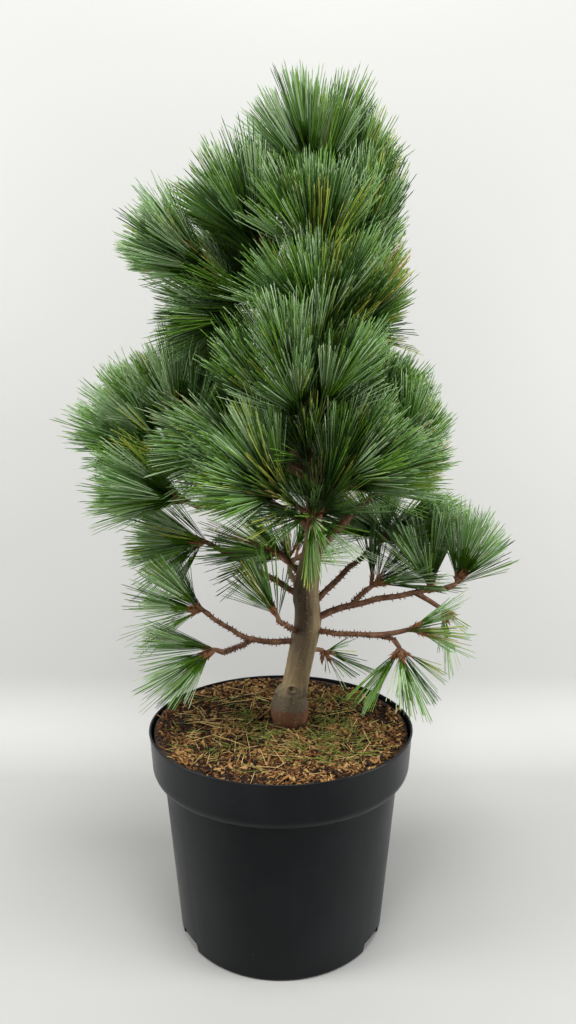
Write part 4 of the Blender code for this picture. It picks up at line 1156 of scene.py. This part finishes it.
@dataclass
class Foliage:
    """Stems, twigs, buds and needles of every mass."""

    growth: Growth
    bundles_per_metre: float = 530.0
    whorl_bundles: float = 18.0
    tuft_bundles: int = 3
    tuft_pull: float = 0.6
    tuft_lengths: tuple[float, float] = (0.84, 1.06)
    stem_share: float = 0.25
    stem_density: float = 0.8
    vigour: float = 3.0
    inner_reach: float = 0.070
    outer_reach: float = 0.150
    outer_share: float = 0.58
    leader_height: float = 0.750
    back_depth: float = 0.060
    back_share: float = 1.25
    # Pale tints gain outwards over this reach and upwards over this height: partly the needles' own colour, partly
    # painted light on the crown's outside and top.
    shaded_to_pale_reach: tuple[float, float] = (0.030, 0.115)
    pale_and_lit_height: tuple[float, float] = (0.660, 0.820)
    # Shares of the tints in Tint order; the darkest is painted shade, which the green mix deals out inside the
    # crown and the old mix on the stems.
    green_and_shaded_mix: tuple[float, ...] = (0.42, 0.36, 0.12, 0.07, 0.029, 0.001)
    pale_and_lit_mix: tuple[float, ...] = (0.11, 0.18, 0.33, 0.35, 0.028, 0.002)
    warm_mix: tuple[float, ...] = (0.14, 0.38, 0.12, 0.10, 0.250, 0.010)
    old_and_shaded_mix: tuple[float, ...] = (0.52, 0.26, 0.04, 0.02, 0.142, 0.018)
    warm_masses: tuple[str, ...] = ("pale_right_mass",)
    thin_masses: dict[str, float] = field(default_factory=lambda: {
        "top_back_mass": 0.50, "top_right_mass": 0.70, "top_left_mass": 0.80,
        "droop_mass": 0.34, "low_left_mass": 0.34, "low_left_arm_mass": 0.36, "low_left_inner_mass": 0.34,
        "low_right_mass": 0.42, "low_right_tip_mass": 0.46, "low_right_inner_mass": 0.36,
        "low_right_under_mass": 0.34, "front_right_mass": 0.36, "front_right_side_mass": 0.36,
        "low_back_right_mass": 0.26, "back_left_mass": 0.40, "low_back_mass": 0.40, "bottom_left_mass": 0.62})
    full_needle: float = 0.088
    needles_in_bundle: int = 5
    bundle_spread: float = math.radians(4.6)
    bend: float = 0.035
    piece_needles: int = 15500
    limb_margin: float = 0.0005
    stem_radius: float = 0.0031
    twig_radius: float = 0.0024
    tip_radius: float = 0.0015
    reach_slack: tuple[float, float] = (-0.030, 0.006)
    samples: tuple[float, ...] = (0.2, 0.45, 0.7, 1.0)

    def __post_init__(self) -> None:
        """Grow the wood of every mass, and list the segments that needles keep clear of."""
        self.woods = [self.growth.twigs(mass, number) for number, mass in enumerate(MASSES)]
        self.finer = [self.finer_whorl(number) for number in range(len(MASSES))]
        rows = [(a[:3], b[:3], a[3], b[3]) for line in self.growth.lines.values() for a, b in zip(line, line[1:])]
        self.limb_starts, self.limb_ends = (np.array([row[i] for row in rows]) for i in (0, 1))
        self.limb_radii = np.array([row[2:] for row in rows])

    def finer_whorl(self, number: int) -> list[tuple[np.ndarray, np.ndarray]]:
        """Return the finer twigs of a mass, which leave its own twigs between two others."""
        draw = np.random.default_rng(500 + number)
        _, twigs = self.woods[number]
        hub, tip = twigs[0]
        ahead = unit(tip - hub)
        across, above = (vector[0] for vector in ring_frames(ahead[None]))
        finer = []
        count = len(twigs) + 3
        for index in range(count):
            carrier = twigs[index % len(twigs)]
            foot = carrier[0] + (carrier[1] - carrier[0]) * draw.uniform(0.15, 0.55)
            turn = 2 * math.pi * (index + 0.5) / count + draw.normal(0, 0.3)
            splay = math.radians(MASSES[number].splay * draw.uniform(0.4, 1.15))
            aside = math.cos(turn) * across + math.sin(turn) * above
            along = unit(math.cos(splay) * ahead + math.sin(splay) * aside + self.growth.upturn * UP)
            finer.append((foot, foot + along * MASSES[number].length * draw.uniform(0.55, 0.9)))
        return finer

    def build(self) -> None:
        """Build the twigs, the buds and the needles."""
        self.build_twigs()
        self.build_buds()
        self.build_needles()

    def build_twigs(self) -> bpy.types.Object:
        """Join every stem and twig into one piece."""
        draw = np.random.default_rng(3)
        rows = []
        for (stem, twigs), finer in zip(self.woods, self.finer):
            rows.append((*stem, self.stem_radius, self.twig_radius))
            rows += [(*twig, self.twig_radius, self.tip_radius) for twig in twigs]
            rows += [(*twig, 0.8 * self.twig_radius, self.tip_radius) for twig in finer]
        starts, ends = (np.array([row[i] for row in rows]) for i in (0, 1))
        radii, end_radii = (np.array([row[i] for row in rows]) for i in (2, 3))
        span = np.linalg.norm(ends - starts, axis=1, keepdims=True)
        bends = draw.normal(0, 0.016, (len(rows), 3)) * span
        places, corners = tubes(starts, ends, radii, end_radii, bends, 8, 7)
        twigs = put("twigs", array_mesh("twigs", places, corners), [BoughBark().material()])
        return settle(twigs, "bough_bark", *(mass.name for mass in MASSES))

    def build_buds(self) -> bpy.types.Object:
        """Put an orange-brown bud on every twig and papery scales round its foot."""
        draw = np.random.default_rng(5)
        starts, ends, radii, tips = [], [], [], []
        for (_, twigs), finer in zip(self.woods, self.finer):
            for start, end in twigs + finer:
                ahead = unit(end - start)
                starts.append(end - ahead * 0.002)
                ends.append(end + ahead * draw.uniform(0.005, 0.009))
                radii.append(0.0019)
                tips.append(0.0004)
                across, above = (vector[0] for vector in ring_frames(ahead[None]))
                for index in range(9):
                    turn = GOLDEN_TURN * index + draw.uniform(0, 0.6)
                    outward = math.cos(turn) * across + math.sin(turn) * above
                    foot = start + (end - start) * draw.uniform(0.05, 1.0)
                    starts.append(foot + outward * 0.0010)
                    ends.append(foot + unit(outward + 1.2 * ahead) * draw.uniform(0.0035, 0.0060))
                    radii.append(0.0008)
                    tips.append(0.0002)
        count = len(starts)
        places, corners = tubes(np.array(starts), np.array(ends), np.array(radii), np.array(tips),
                                np.zeros((count, 3)), 4, 3)
        look = Plain("bud_scales", (0.230, 0.098, 0.036), 0.6)
        buds = put("bud_scales", array_mesh("bud_scales", places, corners), [look.material()])
        return settle(buds, "bough_bark")

    @staticmethod
    def distances(points: np.ndarray, starts: np.ndarray, ends: np.ndarray) -> tuple[np.ndarray, np.ndarray]:
        """Return each point's distance to each segment, and its share along it."""
        spans = ends - starts
        offsets = points[:, None, :] - starts[None, :, :]
        shares = np.clip(np.einsum("ijk,jk->ij", offsets, spans) / np.sum(spans * spans, axis=1), 0, 1)
        return np.linalg.norm(offsets - shares[:, :, None] * spans, axis=2), shares

    def keeps(self, points: np.ndarray, slack: np.ndarray) -> np.ndarray:
        """Tell which points lie within the crown's reach, give or take a slack, and clear of the limbs."""
        heights, left, right = (np.array(column) for column in zip(*CROWN_REACH))
        fine = points[:, 2] > heights[0]
        fine &= points[:, 0] > np.interp(points[:, 2], heights, left) - slack
        fine &= points[:, 0] < np.interp(points[:, 2], heights, right) + slack
        fine &= (points[:, 1] > CAD_BOX[0][1] - 0.008) & (points[:, 1] < CAD_BOX[1][1] + 0.008)
        fine &= points[:, 2] < CAD_BOX[1][2] + 0.005
        gaps, shares = self.distances(points, self.limb_starts, self.limb_ends)
        radii = self.limb_radii[:, 0] * (1 - shares) + self.limb_radii[:, 1] * shares
        return fine & np.all(gaps > radii + self.limb_margin, axis=1)

    def fullness(self, mass: Mass, lead: tuple[np.ndarray, np.ndarray]) -> float:
        """Return the share of the needles that a mass bears: low ones and those at the outline are airy."""
        reach = float(np.linalg.norm((lead[1] - self.growth.at_height(lead[1][2]))[:2]))
        outer = float(np.interp(reach, (self.inner_reach, self.outer_reach), (1.0, self.outer_share)))
        if lead[0][2] > self.leader_height:
            outer = self.outer_share
        if lead[1][1] > self.back_depth:
            outer = self.back_share
        return self.thin_masses.get(mass.name, outer)

    def tints(self, mass: Mass, tip: np.ndarray, old: bool, count: int,
              draw: np.random.Generator) -> np.ndarray:
        """Return the tint of each bundle in a brush: green with much painted shade inside, pale outside and high
        up, partly painted light, and dull with much painted shade on old wood.
        """
        reach = float(np.linalg.norm((tip - self.growth.at_height(tip[2]))[:2]))
        # Pale share by reach and by height: partly painted light on the crown's outside and top.
        pale = max(float(np.interp(reach, self.shaded_to_pale_reach, (0.0, 1.0))),
                   float(np.interp(tip[2], self.pale_and_lit_height, (0.0, 1.0))))
        mix = (1 - pale) * np.array(self.green_and_shaded_mix) + pale * np.array(self.pale_and_lit_mix)
        if mass.name in self.warm_masses:
            mix = np.array(self.warm_mix)
        if old:
            mix = np.array(self.old_and_shaded_mix)
        return draw.choice(len(Tint), count, p=mix / mix.sum())

    def tufted(self, along: np.ndarray, lengths: np.ndarray,
               draw: np.random.Generator) -> tuple[np.ndarray, np.ndarray]:
        """Gather the bundles of a brush into tufts that share a direction and a length."""
        count = max(1, len(along) // self.tuft_bundles)
        leads = along[draw.choice(len(along), count, replace=False)]
        nearest = np.argmax(along @ leads.T, axis=1)
        gathered = unit(along + self.tuft_pull * leads[nearest])
        return gathered, lengths * draw.uniform(*self.tuft_lengths, count)[nearest]

    def brush(self, number: int, twig: tuple[np.ndarray, np.ndarray], density: float, old: bool,
              draw: np.random.Generator) -> list[np.ndarray]:
        """Return the needles of one twig: roots, directions, lengths, bends and tints."""
        mass = MASSES[number]
        needle = mass.needle
        density *= self.fullness(mass, self.woods[number][1][0])
        count = self.whorl_bundles + self.bundles_per_metre * np.linalg.norm(twig[1] - twig[0])
        count = int(count * density * (needle / self.full_needle) ** self.vigour)
        roots, along, lengths = self.growth.bundles(twig, needle, count, draw)
        along, lengths = self.tufted(along, lengths, draw)
        tints = self.tints(mass, twig[1], old, count, draw)
        many = self.needles_in_bundle
        across, above = ring_frames(along)
        turn = draw.uniform(0, 2 * np.pi, (count, 1)) + 2 * np.pi * np.arange(many)[None] / many
        spread = np.tan(self.bundle_spread * draw.uniform(0.5, 1.3, turn.shape))
        ahead = unit(along[:, None, :] + spread[..., None]
                     * (np.cos(turn)[..., None] * across[:, None, :] + np.sin(turn)[..., None] * above[:, None, :]))
        ahead = ahead.reshape(-1, 3)
        roots = np.repeat(roots, many, axis=0)
        lengths = np.repeat(lengths, many) * draw.uniform(0.92, 1.03, len(roots))
        tints = np.repeat(tints, many)
        axis = unit(twig[1] - twig[0])
        outward = ahead - axis * (ahead @ axis)[:, None]
        bends = self.bend * (0.55 * outward - 0.8 * UP) + draw.normal(0, 0.03, ahead.shape)
        slack = np.repeat(draw.uniform(*self.reach_slack, count), many)
        keep = np.zeros(len(roots), bool)
        for scale in (1.0, 0.86, 0.72):
            tried = np.where(keep, lengths, lengths * scale)
            points = [roots + ahead * (tried * share)[:, None] + bends * (tried * share ** 2)[:, None]
                      for share in self.samples]
            fits = np.all([self.keeps(place, slack) for place in points], axis=0)
            lengths = np.where(~keep & fits, lengths * scale, lengths)
            keep |= fits
        return [part[keep] for part in (roots, ahead, lengths, bends, tints)]

    def build_needles(self) -> None:
        """Grow every brush, and join the needles of each tint into pieces."""
        parts = []
        for number in range(len(MASSES)):
            draw = np.random.default_rng(900 + number)
            stem, twigs = self.woods[number]
            for twig in twigs + self.finer[number]:
                parts.append(self.brush(number, twig, 1.0, False, draw))
            clothed = (stem[0] + (stem[1] - stem[0]) * self.stem_share, stem[1])
            parts.append(self.brush(number, clothed, self.stem_density, True, draw))
        roots, ahead, lengths, bends, tints = (np.concatenate(column) for column in zip(*parts))
        LOG.info("needles: %d", len(roots))
        shape = NeedleShape()
        draw = np.random.default_rng(77)
        for order, tint in enumerate(Tint):
            chosen = np.flatnonzero(tints == order)
            materials = tint.materials()
            pieces = max(1, math.ceil(len(chosen) / self.piece_needles))
            for piece, rows in enumerate(np.array_split(chosen, pieces)):
                name = f"needles_{tint.name.lower()}_{piece + 1}"
                mesh = shape.mesh(name, roots[rows], ahead[rows], lengths[rows], bends[rows], draw)
                settle(put(name, mesh, materials), "needles", *(mass.name for mass in MASSES))


# The room


class Lamp(NamedTuple):
    """A square soft light: its place, the point it looks at, its size, power and colour."""

    name: str
    place: tuple[float, float, float]
    aim: tuple[float, float, float]
    size: float
    power: float
    colour: Colour


@dataclass
class Room:
    """A pale floor and backdrop, soft lights and the camera."""

    camera_place: tuple[float, float, float] = (0.00749, -0.81477, 0.57727)
    camera_pitch: float = 8.893
    lens: float = 28.125
    sensor: float = 36.0
    floor_colour: Colour = (0.318, 0.320, 0.318)
    wall_colour: Colour = (0.355, 0.357, 0.356)
    half_width: float = 3.0
    wall_height: float = 3.2
    back_distance: float = 0.30
    back_bend: float = 0.12
    bend_steps: int = 12
    sky_colour: Colour = (0.96, 0.97, 1.0)
    sky_strength: float = 0.28
    lamps: tuple[Lamp, ...] = (
        Lamp("key_light", (-1.7, -0.55, 1.3), (0.0, 0.15, 0.3), 0.9, 40.0, (1.0, 0.98, 0.94)),
        Lamp("side_light", (1.8, -0.55, 0.9), (0.0, 0.15, 0.3), 0.9, 32.0, (1.0, 0.98, 0.95)),
        Lamp("top_light", (0.1, -0.6, 2.3), (0.0, 0.0, 0.5), 0.8, 50.0, (1.0, 1.0, 0.98)),
        Lamp("left_wall_light", (-1.3, -0.25, 0.45), (0.0, 0.42, 0.15), 0.5, 6.0, (1.0, 0.99, 0.96)),
        Lamp("right_wall_light", (1.3, -0.25, 0.45), (0.0, 0.42, 0.15), 0.5, 9.0, (1.0, 0.98, 0.94)),
    )

    def build(self) -> None:
        """Build the floor, the lights and the camera."""
        self.build_floor()
        self.build_lights()
        self.build_camera()

    def build_floor(self) -> None:
        """Sweep one sheet from the floor up into the backdrop."""
        bm = bmesh.new()
        section = [(-self.half_width, 0.0), (self.back_distance, 0.0)]
        for index in range(1, self.bend_steps + 1):
            turn = math.pi / 2 * index / self.bend_steps
            section.append((self.back_distance + self.back_bend * math.sin(turn),
                            self.back_bend * (1 - math.cos(turn))))
        section.append((self.back_distance + self.back_bend, self.wall_height))
        verts = [bm.verts.new((-self.half_width, depth, height)) for depth, height in section]
        edges = [bm.edges.new(pair) for pair in zip(verts, verts[1:])]
        swept = bmesh.ops.extrude_edge_only(bm, edges=edges)["geom"]
        moved = [item for item in swept if isinstance(item, bmesh.types.BMVert)]
        bmesh.ops.translate(bm, verts=moved, vec=(2 * self.half_width, 0.0, 0.0))
        bench = Bench("studio_floor")
        place = bench.node("ShaderNodeSeparateXYZ", None, {"Vector": bench.place()})
        rise = bench.level(Signal(bench, place.outputs["Z"]), 0.0, self.back_bend)
        colour = bench.blend(rise, self.floor_colour, self.wall_colour)
        floor = put("studio_floor", mesh_of("studio_floor", bm), [bench.finish(base_color=colour, roughness=0.6)])

    def build_lights(self) -> None:
        """Light the plant softly from above, the front and both sides."""
        world = bpy.data.worlds.new("soft_room")
        world.use_nodes = True
        world.node_tree.nodes["Background"].inputs["Color"].default_value = (*self.sky_colour, 1.0)
        world.node_tree.nodes["Background"].inputs["Strength"].default_value = self.sky_strength
        bpy.context.scene.world = world
        for lamp in self.lamps:
            light = bpy.data.lights.new(lamp.name, "AREA")
            light.energy = lamp.power
            light.size = lamp.size
            light.color = lamp.colour
            item = bpy.data.objects.new(lamp.name, light)
            item.location = lamp.place
            item.rotation_euler = (Vector(lamp.aim) - Vector(lamp.place)).to_track_quat("-Z", "Y").to_euler()
            bpy.context.scene.collection.objects.link(item)

    def build_camera(self) -> None:
        """Set the camera at the viewing angle and make it the scene's."""
        camera = bpy.data.cameras.new("camera")
        camera.lens = self.lens
        camera.sensor_width = self.sensor
        camera.sensor_fit = "AUTO"
        camera.clip_start = 0.01
        item = bpy.data.objects.new("camera", camera)
        item.location = self.camera_place
        item.rotation_euler = (math.radians(90 - self.camera_pitch), 0.0, 0.0)
        bpy.context.scene.collection.objects.link(item)
        bpy.context.scene.camera = item


def main() -> None:
    """Build the room and the plant in order."""
    logging.basicConfig(level=logging.INFO, format="%(name)s %(message)s")
    bpy.context.scene.view_settings.view_transform = "Standard"
    Room().build()
    pot = NurseryPot()
    pot.build()
    GrowingMedium(pot).build()
    growth = Growth()
    Limbs(growth).build()
    Foliage(growth).build()


if __name__ == "__main__":
    main()
